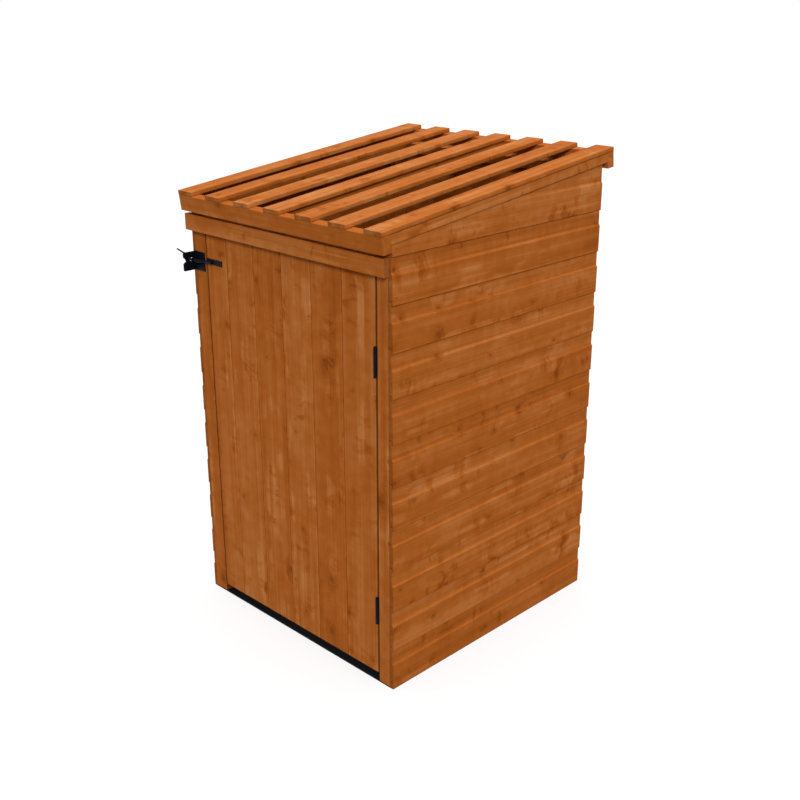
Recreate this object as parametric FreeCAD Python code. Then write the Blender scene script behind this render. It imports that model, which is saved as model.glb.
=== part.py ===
"""Wheelie bin store: a shiplap shed for one bin, with a side-hung door and a lift-up slatted lid.

Frame: millimetres, +X to the right seen from the front, +Y to the back, +Z up.
The origin is on the ground, at the centre of the four walls' footprint.
"""
import FreeCAD, Part
import math
import os

Vector = FreeCAD.Vector
X_AXIS = Vector(1, 0, 0)
Y_AXIS = Vector(0, 1, 0)
Z_AXIS = Vector(0, 0, 1)

# Walls, measured over the faces of the boards
WALL_WIDTH = 773.0
WALL_DEPTH = 800.0
WALL_FRONT_HEIGHT = 1173.5
ROOF_PITCH = 6.8

# Shiplap boards, nailed across the posts from the ground up
BOARD_THICKNESS = 12.0
BOARD_PITCH = 114.5
BOARD_FACE = 72.0
BOARD_RECESS = 4.0
BOARD_COVE = 7.0
BOARD_LAP = 12.0
LAP_PLAY = 0.2
LAP_GAP = 1.0

# Frame timbers inside the walls
TIMBER_NARROW = 28.0
TIMBER_WIDE = 44.0
LATCH_POST_WIDTH = 48.0
HINGE_POST_WIDTH = 39.0
BASE_SHEET_THICKNESS = 3.0

# Header board across the front posts
HEADER_BOTTOM = 1099.0
HEADER_HEIGHT = 44.5
HEADER_THICKNESS = 18.0
HEADER_OVERHANG = 3.5

# Door of tongued and grooved boards on two ledges and a brace
DOOR_FLOOR_GAP = 27.0
DOOR_HEAD_GAP = 3.0
DOOR_LATCH_GAP = 3.0
DOOR_BOARD_THICKNESS = 12.0
DOOR_BOARDS = 6
DOOR_HINGE_BOARD = 118.5
DOOR_LATCH_BOARD = 84.5
DOOR_BOARD_CHAMFER = 2.5
TONGUE_LENGTH = 5.0
TONGUE_THICKNESS = 4.0
TONGUE_SET_BACK = 7.2
TONGUE_PLAY = 0.2
LEDGE_HEIGHT = 95.0
LEDGE_THICKNESS = 20.0
LEDGE_END_GAP = 6.0
BRACE_WIDTH = 90.0

# Lid: a frame of five rails under seven slats
LID_SIDE_OVERHANG = 2.0
LID_FRONT_OVERHANG = 30.7
LID_BACK_OVERHANG = 43.2
LID_RAIL_WIDE = 43.0
LID_RAIL_NARROW = 25.5
LID_FRONT_RAIL_THICKNESS = 28.2
SLAT_WIDTH = 59.0
SLATS = 7
SLAT_THICKNESS = 11.5
LID_CLEARANCE = 0.5

# Butt hinges
HINGE_LENGTH = 75.0
HINGE_KNUCKLES = 5
HINGE_BARREL_RADIUS = 4.5
HINGE_PIN_RADIUS = 2.2
HINGE_PIN_HEAD_RADIUS = 3.2
HINGE_PIN_HEAD_HEIGHT = 1.5
HINGE_LEAF_THICKNESS = 1.8
HINGE_KNUCKLE_GAP = 0.3
HINGE_LEAF_GAP = 0.4
HINGE_SEAT_GAP = 0.1
HINGE_SCREWS = 3
DOOR_HINGE_LEAF_WIDTH = 24.0
DOOR_HINGE_SCREW_EDGE = 6.0
DOOR_UPPER_HINGE_HEIGHT = 886.0
DOOR_LOWER_HINGE_HEIGHT = 215.0
LID_HINGE_WALL_LEAF_WIDTH = 16.0
LID_HINGE_LID_LEAF_WIDTH = 40.0
LID_HINGE_SPREAD = 400.0
PIN_CLEARANCE = 0.05

# Gate latch: a bracket with one ear on the post, and a catch that drops by its own weight
BRACKET_WIDTH = 44.0
BRACKET_HEIGHT = 52.0
BRACKET_DEPTH = 42.0
BRACKET_THICKNESS = 2.5
BRACKET_BOTTOM = 988.0
BRACKET_CORNER = 3.0
BRACKET_OUTSET = 2.5
SLOT_BOTTOM = 25.5
SLOT_HEIGHT = 10.5
SLOT_DEPTH = 30.0
SLOT_MOUTH_DEPTH = 6.0
SLOT_MOUTH_DROP = 5.0
CATCH_THICKNESS = 2.5
CATCH_SIDE_GAP = 0.5
CATCH_PIVOT_SETBACK = 33.5
CATCH_PIVOT_HEIGHT = 41.0
CATCH_PIN_RADIUS = 2.5
CATCH_PIN_HEAD_RADIUS = 4.5
CATCH_PIN_HEAD_THICKNESS = 1.5
CATCH_EYE_RADIUS = 5.5
CATCH_HEEL_GAP = 0.1
CATCH_HEEL_DROP = 4.5
CATCH_ARM_RISE = 11.5
CATCH_SHOULDER = 10.0
CATCH_LEVER_ROOT = 28.0
CATCH_FINGER_FRONT = 32.0
CATCH_FINGER_BACK = 17.5
CATCH_SLANT_DROP = 3.5
CATCH_NOSE_FRONT = 22.0
CATCH_NOSE_BACK = 7.0
CATCH_NOSE_DROP = 22.5
CATCH_HOOK_DROP = 17.9
CATCH_LEVER_REACH = 53.5
CATCH_LEVER_RISE = 28.0
CATCH_LEVER_THICKNESS = 3.0
STRIKER_RADIUS = 4.0
STRIKER_SET_BACK = 24.0
STRIKER_HEIGHT = 31.0
STRIKER_ARM_GAP = 1.0
STRIKER_OVERRUN = 4.0
STRIKER_BEND_RADIUS = 9.0
STRAP_LENGTH = 66.0
STRAP_HEIGHT = 15.0
STRAP_THICKNESS = 3.0
STRAP_INSET = 1.0
STRAP_SCREW_PLACES = (0.62, 0.88)
STRAP_RISE = 2.0
STRIKER_WELD_LENGTH = 26.0
STRIKER_WELD_DEPTH = 0.5

# Nails and screws; a pair across a board stands at the given shares of its width
PAIR_PLACES = (0.25, 0.75)
NAIL_RADIUS = 1.2
NAIL_HEAD_RADIUS = 1.8
NAIL_HEAD_DEPTH = 1.2
NAIL_LENGTH = 32.0
NAIL_RISE = 18.0
BACK_NAIL_RISE = 25.2
NAIL_EDGE_DISTANCE = 8.0
RAIL_NAIL_SPREAD = 320.0
SIDE_RAIL_NAIL_PLACES = (0.2, 0.5, 0.8)
SCREW_RADIUS = 1.6
SCREW_HEAD_RADIUS = 3.2
SCREW_HEAD_DEPTH = 1.7
HINGE_SCREW_LENGTH = 16.0
LONG_SCREW_LENGTH = 38.0
LEDGE_SCREW_LENGTH = 28.0
STRIKER_SCREW_LENGTH = 14.0
FASTENER_CLEARANCE = 0.1

# Places that follow from the sizes above
HALF_WIDTH = WALL_WIDTH / 2
HALF_DEPTH = WALL_DEPTH / 2
FRONT = -HALF_DEPTH
INNER_SIDE = HALF_WIDTH - BOARD_THICKNESS
INNER_BACK = HALF_DEPTH - BOARD_THICKNESS
PITCH_SINE = math.sin(math.radians(ROOF_PITCH))
PITCH_COSINE = math.cos(math.radians(ROOF_PITCH))
BACK_POST_FRONT = INNER_BACK - TIMBER_WIDE
BACK_RAIL_FRONT = INNER_BACK - TIMBER_NARROW
POST_BACK = FRONT + TIMBER_NARROW
OPENING_LEFT = -INNER_SIDE + LATCH_POST_WIDTH
OPENING_RIGHT = INNER_SIDE - HINGE_POST_WIDTH
DOOR_HINGE_GAP = 2 * HINGE_LEAF_THICKNESS + HINGE_LEAF_GAP
DOOR_LEFT = OPENING_LEFT + DOOR_LATCH_GAP
DOOR_RIGHT = OPENING_RIGHT - DOOR_HINGE_GAP
DOOR_TOP = HEADER_BOTTOM - DOOR_HEAD_GAP
DOOR_BACK = FRONT + DOOR_BOARD_THICKNESS
LEDGE_BACK = DOOR_BACK + LEDGE_THICKNESS
LID_WIDTH = WALL_WIDTH + 2 * LID_SIDE_OVERHANG
DOOR_PIVOT_X = (DOOR_RIGHT + OPENING_RIGHT) / 2
DOOR_PIVOT_Y = FRONT - HINGE_BARREL_RADIUS - HINGE_SEAT_GAP


def slope_height(y):
    """Height of the walls' sloping top edge at a distance y from the centre."""
    return WALL_FRONT_HEIGHT + (y - FRONT) * PITCH_SINE / PITCH_COSINE


def box(x_from, x_to, y_from, y_to, z_from, z_to):
    """Rectangular block between two corners."""
    size = (x_to - x_from, y_to - y_from, z_to - z_from)
    return Part.makeBox(*size, Vector(x_from, y_from, z_from))


def prism(points, direction):
    """Solid swept from a closed outline of 3-D points along a vector."""
    outline = Part.makePolygon(points + points[:1])
    return Part.Face(outline).extrude(direction)


def single(shape):
    """The one solid that a boolean result holds."""
    merged = shape.removeSplitter()
    if len(merged.Solids) != 1:
        raise ValueError(f"expected one solid, found {len(merged.Solids)}")
    return merged.Solids[0]


def on_slope(shape):
    """Move a shape from lid coordinates (x, along the slope, off the slope) into place."""
    placed = shape.copy()
    placed.rotate(Vector(0, 0, 0), X_AXIS, ROOF_PITCH)
    placed.translate(Vector(0, FRONT, WALL_FRONT_HEIGHT))
    return placed


def slope_point(along, off):
    """Place in Y and Z of a point given along and off the walls' sloping top."""
    y = FRONT + along * PITCH_COSINE - off * PITCH_SINE
    z = WALL_FRONT_HEIGHT + along * PITCH_SINE + off * PITCH_COSINE
    return y, z


def below_slope(shape):
    """Saw a wall piece off along the roof's slope."""
    reach = WALL_WIDTH + WALL_DEPTH
    waste = on_slope(box(-reach, reach, -reach, 2 * reach, 0, reach))
    return single(shape.cut(waste))


def nail(head, direction, clearance=0.0):
    """Lost-head nail, or with a clearance the hole for it."""
    shank = Part.makeCylinder(NAIL_RADIUS + clearance, NAIL_LENGTH + clearance, head, direction)
    cap = Part.makeCylinder(NAIL_HEAD_RADIUS + clearance, NAIL_HEAD_DEPTH, head, direction)
    return single(shank.fuse(cap))


def screw(head, direction, length, clearance=0.0):
    """Countersunk screw, or with a clearance the hole for it."""
    shank = Part.makeCylinder(SCREW_RADIUS + clearance, length + clearance, head, direction)
    cone = Part.makeCone(
        SCREW_HEAD_RADIUS + clearance, SCREW_RADIUS + clearance, SCREW_HEAD_DEPTH, head, direction
    )
    return single(shank.fuse(cone))


class Store:
    """All nodes of the store, with the fasteners that pass through them."""

    def __init__(self):
        self.nodes = {}
        self.fasteners = {}

    def add(self, name, *solids):
        """Register a node made of one or more separate solids."""
        self.nodes[name] = list(solids)

    def fasten(self, group, kind, head, direction, through, *length):
        """Drive a nail or screw: make its solid and its hole in the nodes that it passes."""
        self.fasteners.setdefault(group, []).append(kind(head, direction, *length))
        hole = kind(head, direction, *length, FASTENER_CLEARANCE)
        for name in through:
            self.nodes[name] = [drill(solid, hole) for solid in self.nodes[name]]

    def export(self):
        """Write each node as a STEP file."""
        os.makedirs("parts", exist_ok=True)
        for name, solids in {**self.nodes, **self.fasteners}.items():
            shape = solids[0] if len(solids) == 1 else Part.makeCompound(solids)
            shape.exportStep(f"parts/{name}.step")
            print(f"{name}: {len(solids)} solid(s), {shape.Volume / 1000:.1f} cm3")


def drill(solid, hole):
    """Cut a hole in a solid where the two meet."""
    if not solid.BoundBox.intersect(hole.BoundBox):
        return solid
    return single(solid.cut(hole))


def board_section(bottom, top, laps_below):
    """Outline of one shiplap board, as outward distance and height, with a coved top."""
    tongue = BOARD_THICKNESS - BOARD_RECESS
    heel = tongue + LAP_PLAY
    foot = [(0, bottom)]
    if laps_below:
        foot = [(0, bottom + BOARD_LAP), (heel, bottom + BOARD_LAP), (heel, bottom)]
    cove_radius = (BOARD_RECESS**2 + BOARD_COVE**2) / (2 * BOARD_RECESS)
    cove_angle = math.asin(BOARD_COVE / cove_radius)
    cove_centre = Vector(tongue + cove_radius, 0, bottom + BOARD_FACE + BOARD_COVE)
    cove = [
        cove_centre - Vector(math.cos(turn), 0, math.sin(turn)) * cove_radius
        for turn in (cove_angle, cove_angle / 2, 0)
    ]
    lower = [Vector(out, 0, height) for out, height in foot + [(BOARD_THICKNESS, bottom)]]
    upper = [Vector(tongue, 0, top), Vector(0, 0, top), lower[0]]
    edges = [Part.Arc(*cove).toShape()]
    for run in (lower + cove[:1], cove[-1:] + upper):
        edges += [Part.LineSegment(start, end).toShape() for start, end in zip(run, run[1:])]
    return Part.Face(Part.Wire(Part.sortEdges(edges)[0]))


def wall_boards(length, height):
    """Stack of shiplap boards, standing on the ground with their backs in the XZ plane's X = 0."""
    count = round(height / BOARD_PITCH)
    boards = []
    for course in range(count):
        bottom = course * BOARD_PITCH
        top = bottom + BOARD_PITCH + BOARD_LAP - LAP_GAP
        if course == count - 1:
            top = height
        boards.append(board_section(bottom, top, course > 0).extrude(Vector(0, length, 0)))
    return boards


def add_walls(store):
    """Shiplap on the two sides and the back, sawn to the slope at the top."""
    right = [board.translated(Vector(INNER_SIDE, FRONT, 0)) for board in wall_boards(
        WALL_DEPTH, slope_height(HALF_DEPTH))]
    right = [below_slope(board) for board in right]
    left = [board.mirror(Vector(0, 0, 0), X_AXIS) for board in right]
    back = []
    for board in wall_boards(2 * INNER_SIDE, slope_height(HALF_DEPTH)):
        board.rotate(Vector(0, 0, 0), Z_AXIS, 90)
        back.append(below_slope(board.translated(Vector(INNER_SIDE, INNER_BACK, 0))))
    store.add("right_wall_boards", *right)
    store.add("left_wall_boards", *left)
    store.add("back_wall_boards", *back)


def add_frame(store):
    """Sheet under the store, four corner posts and the rails between them."""
    sheet_top = BASE_SHEET_THICKNESS
    store.add("base_sheet", box(-INNER_SIDE, INNER_SIDE, FRONT, INNER_BACK, 0, sheet_top))
    tall = slope_height(HALF_DEPTH)
    store.add("latch_post", below_slope(
        box(-INNER_SIDE, OPENING_LEFT, FRONT, POST_BACK, sheet_top, tall)))
    store.add("hinge_post", below_slope(
        box(OPENING_RIGHT, INNER_SIDE, FRONT, POST_BACK, sheet_top, tall)))
    rail_foot = sheet_top + TIMBER_WIDE
    for side, name in ((-1, "left"), (1, "right")):
        outer = side * INNER_SIDE
        inner = side * (INNER_SIDE - TIMBER_NARROW)
        low, high = min(outer, inner), max(outer, inner)
        store.add(f"{name}_back_post", below_slope(
            box(low, high, BACK_POST_FRONT, INNER_BACK, sheet_top, tall)))
        store.add(f"{name}_bottom_rail", box(
            low, high, POST_BACK, BACK_POST_FRONT, sheet_top, rail_foot))
        rail = on_slope(box(low, high, -TIMBER_WIDE, WALL_DEPTH + TIMBER_WIDE, -TIMBER_WIDE, 0))
        between_posts = box(low, high, POST_BACK, BACK_POST_FRONT, 0, 2 * tall)
        store.add(f"{name}_top_rail", single(rail.common(between_posts)))
    reach = INNER_SIDE - TIMBER_NARROW
    store.add("back_top_rail", below_slope(box(
        -reach, reach, BACK_RAIL_FRONT, INNER_BACK,
        slope_height(BACK_RAIL_FRONT) - TIMBER_NARROW, tall)))
    store.add("back_bottom_rail", box(
        -reach, reach, BACK_RAIL_FRONT, INNER_BACK, sheet_top, rail_foot))
    store.add("header_board", box(
        -HALF_WIDTH - HEADER_OVERHANG, INNER_SIDE + HEADER_OVERHANG, FRONT - HEADER_THICKNESS, FRONT,
        HEADER_BOTTOM, HEADER_BOTTOM + HEADER_HEIGHT))


def nail_walls(store):
    """A nail through each wall board into each post, and screws from the posts into the header."""
    nail_rows = (
        ("right_wall_boards", 1, FRONT + TIMBER_NARROW / 2, "hinge_post"),
        ("right_wall_boards", 1, BACK_POST_FRONT + TIMBER_WIDE / 2, "right_back_post"),
        ("left_wall_boards", -1, FRONT + TIMBER_NARROW / 2, "latch_post"),
        ("left_wall_boards", -1, BACK_POST_FRONT + TIMBER_WIDE / 2, "left_back_post"),
    )
    for boards, side, y, post in nail_rows:
        for course in range(len(store.nodes[boards])):
            head = Vector(side * HALF_WIDTH, y, course * BOARD_PITCH + NAIL_RISE)
            store.fasten("wall_nails", nail, head, X_AXIS * -side, (boards, post))
    for side, post in ((-1, "left_back_post"), (1, "right_back_post")):
        x = side * (INNER_SIDE - TIMBER_NARROW / 2)
        for course in range(len(store.nodes["back_wall_boards"])):
            head = Vector(x, HALF_DEPTH, course * BOARD_PITCH + BACK_NAIL_RISE)
            store.fasten("wall_nails", nail, head, -Y_AXIS, ("back_wall_boards", post))
    nail_rails(store)
    for x, post in (
        (OPENING_LEFT - LATCH_POST_WIDTH / 2, "latch_post"),
        (OPENING_RIGHT + HINGE_POST_WIDTH / 2, "hinge_post"),
    ):
        for share in PAIR_PLACES:
            head = Vector(x, POST_BACK, HEADER_BOTTOM + share * HEADER_HEIGHT)
            store.fasten(
                "header_screws", screw, head, -Y_AXIS, ("header_board", post), LONG_SCREW_LENGTH)


def nail_rails(store):
    """Nails through the wall boards into the rails, all on the boards' flat faces."""
    low = BASE_SHEET_THICKNESS + TIMBER_WIDE / 2
    top_face = (len(store.nodes["right_wall_boards"]) - 1) * BOARD_PITCH + BOARD_FACE
    for place in (-RAIL_NAIL_SPREAD / 2, RAIL_NAIL_SPREAD / 2):
        high = min(slope_height(place) - TIMBER_WIDE / 2, top_face - NAIL_EDGE_DISTANCE)
        for side, name in ((-1, "left"), (1, "right")):
            for z, rail in ((low, f"{name}_bottom_rail"), (high, f"{name}_top_rail")):
                store.fasten(
                    "wall_nails", nail, Vector(side * HALF_WIDTH, place, z), X_AXIS * -side,
                    (f"{name}_wall_boards", rail))
        head = Vector(place, HALF_DEPTH, BACK_NAIL_RISE)
        store.fasten("wall_nails", nail, head, -Y_AXIS, ("back_wall_boards", "back_bottom_rail"))


def door_board(left, right, tongue_on_left, groove_on_right):
    """One door board: V-jointed front edges, a tongue on its left and a groove on its right."""
    board = box(left, right, FRONT, DOOR_BACK, DOOR_FLOOR_GAP, DOOR_TOP)
    middle = FRONT + TONGUE_SET_BACK
    height = DOOR_TOP - DOOR_FLOOR_GAP
    for edge, inward, jointed in ((left, 1, tongue_on_left), (right, -1, groove_on_right)):
        if jointed:
            corner = [
                Vector(edge, FRONT, DOOR_FLOOR_GAP),
                Vector(edge + inward * DOOR_BOARD_CHAMFER, FRONT, DOOR_FLOOR_GAP),
                Vector(edge, FRONT + DOOR_BOARD_CHAMFER, DOOR_FLOOR_GAP),
            ]
            board = board.cut(prism(corner, Vector(0, 0, height)))
    if tongue_on_left:
        half = TONGUE_THICKNESS / 2
        board = board.fuse(box(
            left - TONGUE_LENGTH, left, middle - half, middle + half, DOOR_FLOOR_GAP, DOOR_TOP))
    if groove_on_right:
        half = TONGUE_THICKNESS / 2 + TONGUE_PLAY
        depth = TONGUE_LENGTH + TONGUE_PLAY
        board = board.cut(box(
            right - depth, right, middle - half, middle + half, DOOR_FLOOR_GAP, DOOR_TOP))
    return single(board)


def door_joints():
    """Edges of the door's boards: one at each side of its own width, the rest shared evenly."""
    first = DOOR_LEFT + DOOR_LATCH_BOARD
    last = DOOR_RIGHT - DOOR_HINGE_BOARD
    shared = DOOR_BOARDS - 2
    between = [first + (last - first) * number / shared for number in range(shared + 1)]
    return [DOOR_LEFT] + between + [DOOR_RIGHT]


def add_door(store):
    """Door boards, the two ledges that the hinges are screwed to and the brace between them."""
    edges = door_joints()
    last = len(edges) - 2
    boards = []
    for number, (left, right) in enumerate(zip(edges, edges[1:])):
        name = f"door_board_{number + 1}"
        boards.append(name)
        store.add(name, door_board(left, right, number > 0, number < last))
    ledges = (
        ("door_bottom_ledge", DOOR_LOWER_HINGE_HEIGHT), ("door_top_ledge", DOOR_UPPER_HINGE_HEIGHT))
    ledge_left = DOOR_LEFT + LEDGE_END_GAP
    for name, centre in ledges:
        store.add(name, box(
            ledge_left, DOOR_RIGHT, DOOR_BACK, LEDGE_BACK,
            centre - LEDGE_HEIGHT / 2, centre + LEDGE_HEIGHT / 2))
    low = DOOR_LOWER_HINGE_HEIGHT + LEDGE_HEIGHT / 2
    high = DOOR_UPPER_HINGE_HEIGHT - LEDGE_HEIGHT / 2
    slant = math.hypot(high - low, DOOR_RIGHT - ledge_left - BRACE_WIDTH) / (high - low)
    cut_width = BRACE_WIDTH * slant
    brace = [
        Vector(DOOR_RIGHT - LEDGE_END_GAP - cut_width, DOOR_BACK, low),
        Vector(DOOR_RIGHT - LEDGE_END_GAP, DOOR_BACK, low),
        Vector(ledge_left + cut_width, DOOR_BACK, high),
        Vector(ledge_left, DOOR_BACK, high),
    ]
    store.add("door_brace", prism(brace, Vector(0, LEDGE_THICKNESS, 0)))
    brace_foot = DOOR_RIGHT - LEDGE_END_GAP - cut_width / 2
    brace_head = ledge_left + cut_width / 2
    for number, (left, right) in enumerate(zip(edges, edges[1:])):
        middle = (max(left, ledge_left) + right) / 2
        places = [
            (middle, centre + (share - 0.5) * LEDGE_HEIGHT, ledge)
            for ledge, centre in ledges for share in PAIR_PLACES
        ]
        along = (middle - brace_foot) / (brace_head - brace_foot)
        if 0 < along < 1:
            places.append((middle, low + along * (high - low), "door_brace"))
        for x, z, piece in places:
            store.fasten(
                "door_screws", screw, Vector(x, LEDGE_BACK, z), -Y_AXIS, (piece, boards[number]),
                LEDGE_SCREW_LENGTH)


def knuckle_spans():
    """Start and end of each knuckle along the hinge's length."""
    pitch = HINGE_LENGTH / HINGE_KNUCKLES
    spans = []
    for number in range(HINGE_KNUCKLES):
        start = -HINGE_LENGTH / 2 + number * pitch
        spans.append((start + HINGE_KNUCKLE_GAP / 2, start + pitch - HINGE_KNUCKLE_GAP / 2))
    return spans


def hinge_leaf(width, fixed, toward):
    """One leaf of a butt hinge on an axis along Z, running out to +Y from the pin.

    The outer face of the leaf is tangent to the barrel on the side of X that toward names. A door
    leaf's faces lie in its gap instead: see gap_leaf.
    """
    outer = toward * (HINGE_BARREL_RADIUS + HINGE_SEAT_GAP)
    inner = outer - toward * HINGE_LEAF_THICKNESS
    return leaf_solid(min(outer, inner), max(outer, inner), width, fixed)


def gap_leaf(width, fixed, toward):
    """Leaf that lies in the gap between door and post, just beside the pin's plane."""
    near = toward * HINGE_LEAF_GAP / 2
    far = near + toward * HINGE_LEAF_THICKNESS
    return leaf_solid(min(near, far), max(near, far), width, fixed)


def leaf_solid(x_from, x_to, width, fixed):
    """Plate, its knuckles and the webs that join them; a fixed leaf has the outer knuckles."""
    clear = HINGE_BARREL_RADIUS + HINGE_KNUCKLE_GAP
    plate = box(x_from, x_to, clear, clear + width, -HINGE_LENGTH / 2, HINGE_LENGTH / 2)
    for number, (start, end) in enumerate(knuckle_spans()):
        if (number % 2 == 0) != fixed:
            continue
        barrel = Part.makeCylinder(HINGE_BARREL_RADIUS, end - start, Vector(0, 0, start))
        web = box(x_from, x_to, 0, clear, start, end)
        plate = plate.fuse([barrel, web])
    bore = Part.makeCylinder(
        HINGE_PIN_RADIUS + PIN_CLEARANCE, 2 * HINGE_LENGTH, Vector(0, 0, -HINGE_LENGTH))
    return single(plate.cut(bore))


def hinge_pin():
    """Pin with a button head, standing on the hinge's lowest knuckle end."""
    half = HINGE_LENGTH / 2
    shank = Part.makeCylinder(HINGE_PIN_RADIUS, HINGE_LENGTH, Vector(0, 0, -half))
    head = Part.makeCylinder(HINGE_PIN_HEAD_RADIUS, HINGE_PIN_HEAD_HEIGHT, Vector(0, 0, half))
    return single(shank.fuse(head))


def screw_rows():
    """Places of a leaf's screws along the hinge."""
    pitch = HINGE_LENGTH / HINGE_SCREWS
    return [(number + 0.5) * pitch - HINGE_LENGTH / 2 for number in range(HINGE_SCREWS)]


def add_door_hinges(store):
    """Two butt hinges in the gap between the door's edge and the hinge post."""
    heights = (
        ("lower", DOOR_LOWER_HINGE_HEIGHT, "door_bottom_ledge"),
        ("upper", DOOR_UPPER_HINGE_HEIGHT, "door_top_ledge"),
    )
    leaf_start = DOOR_PIVOT_Y + HINGE_BARREL_RADIUS + HINGE_KNUCKLE_GAP
    screw_y = leaf_start + DOOR_HINGE_LEAF_WIDTH - DOOR_HINGE_SCREW_EDGE
    pins = []
    for name, height, ledge in heights:
        place = Vector(DOOR_PIVOT_X, DOOR_PIVOT_Y, height)
        post_leaf = f"door_hinge_{name}_post_leaf"
        door_leaf = f"door_hinge_{name}_door_leaf"
        store.add(post_leaf, gap_leaf(DOOR_HINGE_LEAF_WIDTH, True, 1).translated(place))
        store.add(door_leaf, gap_leaf(DOOR_HINGE_LEAF_WIDTH, False, -1).translated(place))
        pins.append(hinge_pin().translated(place))
        for rise in screw_rows():
            for side, leaf, wood, group in (
                (1, post_leaf, "hinge_post", "post_leaf_screws"),
                (-1, door_leaf, ledge, "door_leaf_screws"),
            ):
                head = Vector(DOOR_PIVOT_X + side * HINGE_LEAF_GAP / 2, screw_y, height + rise)
                store.fasten(group, screw, head, X_AXIS * side, (leaf, wood), HINGE_SCREW_LENGTH)
    store.add("door_hinge_pins", *pins)


def lid_pivot():
    """Lid hinge axis in Y and Z: against the back boards' recess and under the lid's back rail."""
    y = HALF_DEPTH - BOARD_RECESS + HINGE_BARREL_RADIUS + HINGE_SEAT_GAP
    off = LID_CLEARANCE + LID_RAIL_NARROW - LID_RAIL_WIDE - HINGE_BARREL_RADIUS - HINGE_SEAT_GAP
    along = (y - FRONT + off * PITCH_SINE) / PITCH_COSINE
    return slope_point(along, off), along, off


def add_lid_hinges(store):
    """Two butt hinges that carry the lid's back rail on the back wall."""
    (pivot_y, pivot_z), along, off = lid_pivot()
    clear = HINGE_BARREL_RADIUS + HINGE_KNUCKLE_GAP
    inset = HINGE_BARREL_RADIUS + HINGE_SEAT_GAP - HINGE_LEAF_THICKNESS
    pins = []
    for side, name in ((-1, "left"), (1, "right")):
        place = Vector(side * LID_HINGE_SPREAD / 2, pivot_y, pivot_z)
        wall_leaf = hinge_leaf(LID_HINGE_WALL_LEAF_WIDTH, True, 1)
        wall_leaf.rotate(Vector(0, 0, 0), Y_AXIS, 90)
        wall_leaf.rotate(Vector(0, 0, 0), X_AXIS, -90)
        wall_leaf = wall_leaf.mirror(Vector(0, 0, 0), Z_AXIS)
        lid_leaf = hinge_leaf(LID_HINGE_LID_LEAF_WIDTH, False, -1)
        lid_leaf.rotate(Vector(0, 0, 0), Y_AXIS, 90)
        lid_leaf.rotate(Vector(0, 0, 0), X_AXIS, ROOF_PITCH)
        pin = hinge_pin()
        pin.rotate(Vector(0, 0, 0), Y_AXIS, 90)
        wall_name = f"lid_hinge_{name}_wall_leaf"
        lid_name = f"lid_hinge_{name}_lid_leaf"
        store.add(wall_name, wall_leaf.translated(place))
        store.add(lid_name, lid_leaf.translated(place))
        pins.append(pin.translated(place))
        slope_normal = Vector(0, -PITCH_SINE, PITCH_COSINE)
        for shift in screw_rows():
            x = place.x + shift
            wall_head = Vector(x, pivot_y - inset, pivot_z + clear + LID_HINGE_WALL_LEAF_WIDTH / 2)
            store.fasten(
                "wall_leaf_screws", screw, wall_head, -Y_AXIS,
                (wall_name, "back_wall_boards", "back_top_rail"), HINGE_SCREW_LENGTH)
            rail_middle = lid_back_along() - LID_RAIL_NARROW / 2
            lid_y, lid_z = slope_point(rail_middle, off + inset)
            store.fasten(
                "lid_leaf_screws", screw, Vector(x, lid_y, lid_z), slope_normal,
                (lid_name, "lid_back_rail"), HINGE_SCREW_LENGTH)
    store.add("lid_hinge_pins", *pins)


def lid_back_along():
    """Back end of the lid, along the slope."""
    return WALL_DEPTH / PITCH_COSINE + LID_BACK_OVERHANG


def add_lid(store):
    """Rails and slats of the lid, and the nails that hold the slats."""
    front = -LID_FRONT_OVERHANG
    back = lid_back_along()
    half = LID_WIDTH / 2
    under = LID_CLEARANCE
    rail_top = under + LID_RAIL_NARROW
    slat_top = rail_top + SLAT_THICKNESS
    side_front = front + LID_FRONT_RAIL_THICKNESS
    front_rail = on_slope(box(
        -half, half, front, side_front, rail_top - LID_RAIL_WIDE, rail_top))
    back_rail = on_slope(box(
        -half, half, back - LID_RAIL_NARROW, back, rail_top - LID_RAIL_WIDE, rail_top))
    store.add("lid_front_rail", front_rail)
    store.add("lid_back_rail", back_rail)
    side_back = back - LID_RAIL_NARROW
    store.add("lid_left_rail", on_slope(box(
        -half, LID_RAIL_WIDE - half, side_front, side_back, under, rail_top)))
    store.add("lid_right_rail", on_slope(box(
        half - LID_RAIL_WIDE, half, side_front, side_back, under, rail_top)))
    store.add("lid_middle_rail", on_slope(box(
        -LID_RAIL_WIDE / 2, LID_RAIL_WIDE / 2, side_front, side_back, under, rail_top)))
    last = SLATS - 1
    under_slats = {
        0: ("lid_left_rail", LID_RAIL_WIDE / 2 - half),
        last // 2: ("lid_middle_rail", 0),
        last: ("lid_right_rail", half - LID_RAIL_WIDE / 2),
    }
    pitch = (LID_WIDTH - SLAT_WIDTH) / last
    down = Vector(0, PITCH_SINE, -PITCH_COSINE)
    for number in range(SLATS):
        name = f"lid_slat_{number + 1}"
        left = number * pitch - half
        store.add(name, on_slope(box(left, left + SLAT_WIDTH, front, back, rail_top, slat_top)))
        drives = []
        for along, rail in (
            ((front + side_front) / 2, "lid_front_rail"), ((side_back + back) / 2, "lid_back_rail"),
        ):
            for share in PAIR_PLACES:
                drives.append((left + share * SLAT_WIDTH, along, rail))
        if number in under_slats:
            rail, rail_middle = under_slats[number]
            for share in SIDE_RAIL_NAIL_PLACES:
                drives.append((rail_middle, side_front + share * (side_back - side_front), rail))
        for x, along, rail in drives:
            y, z = slope_point(along, slat_top)
            store.fasten("slat_nails", nail, Vector(x, y, z), down, (name, rail))


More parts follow.
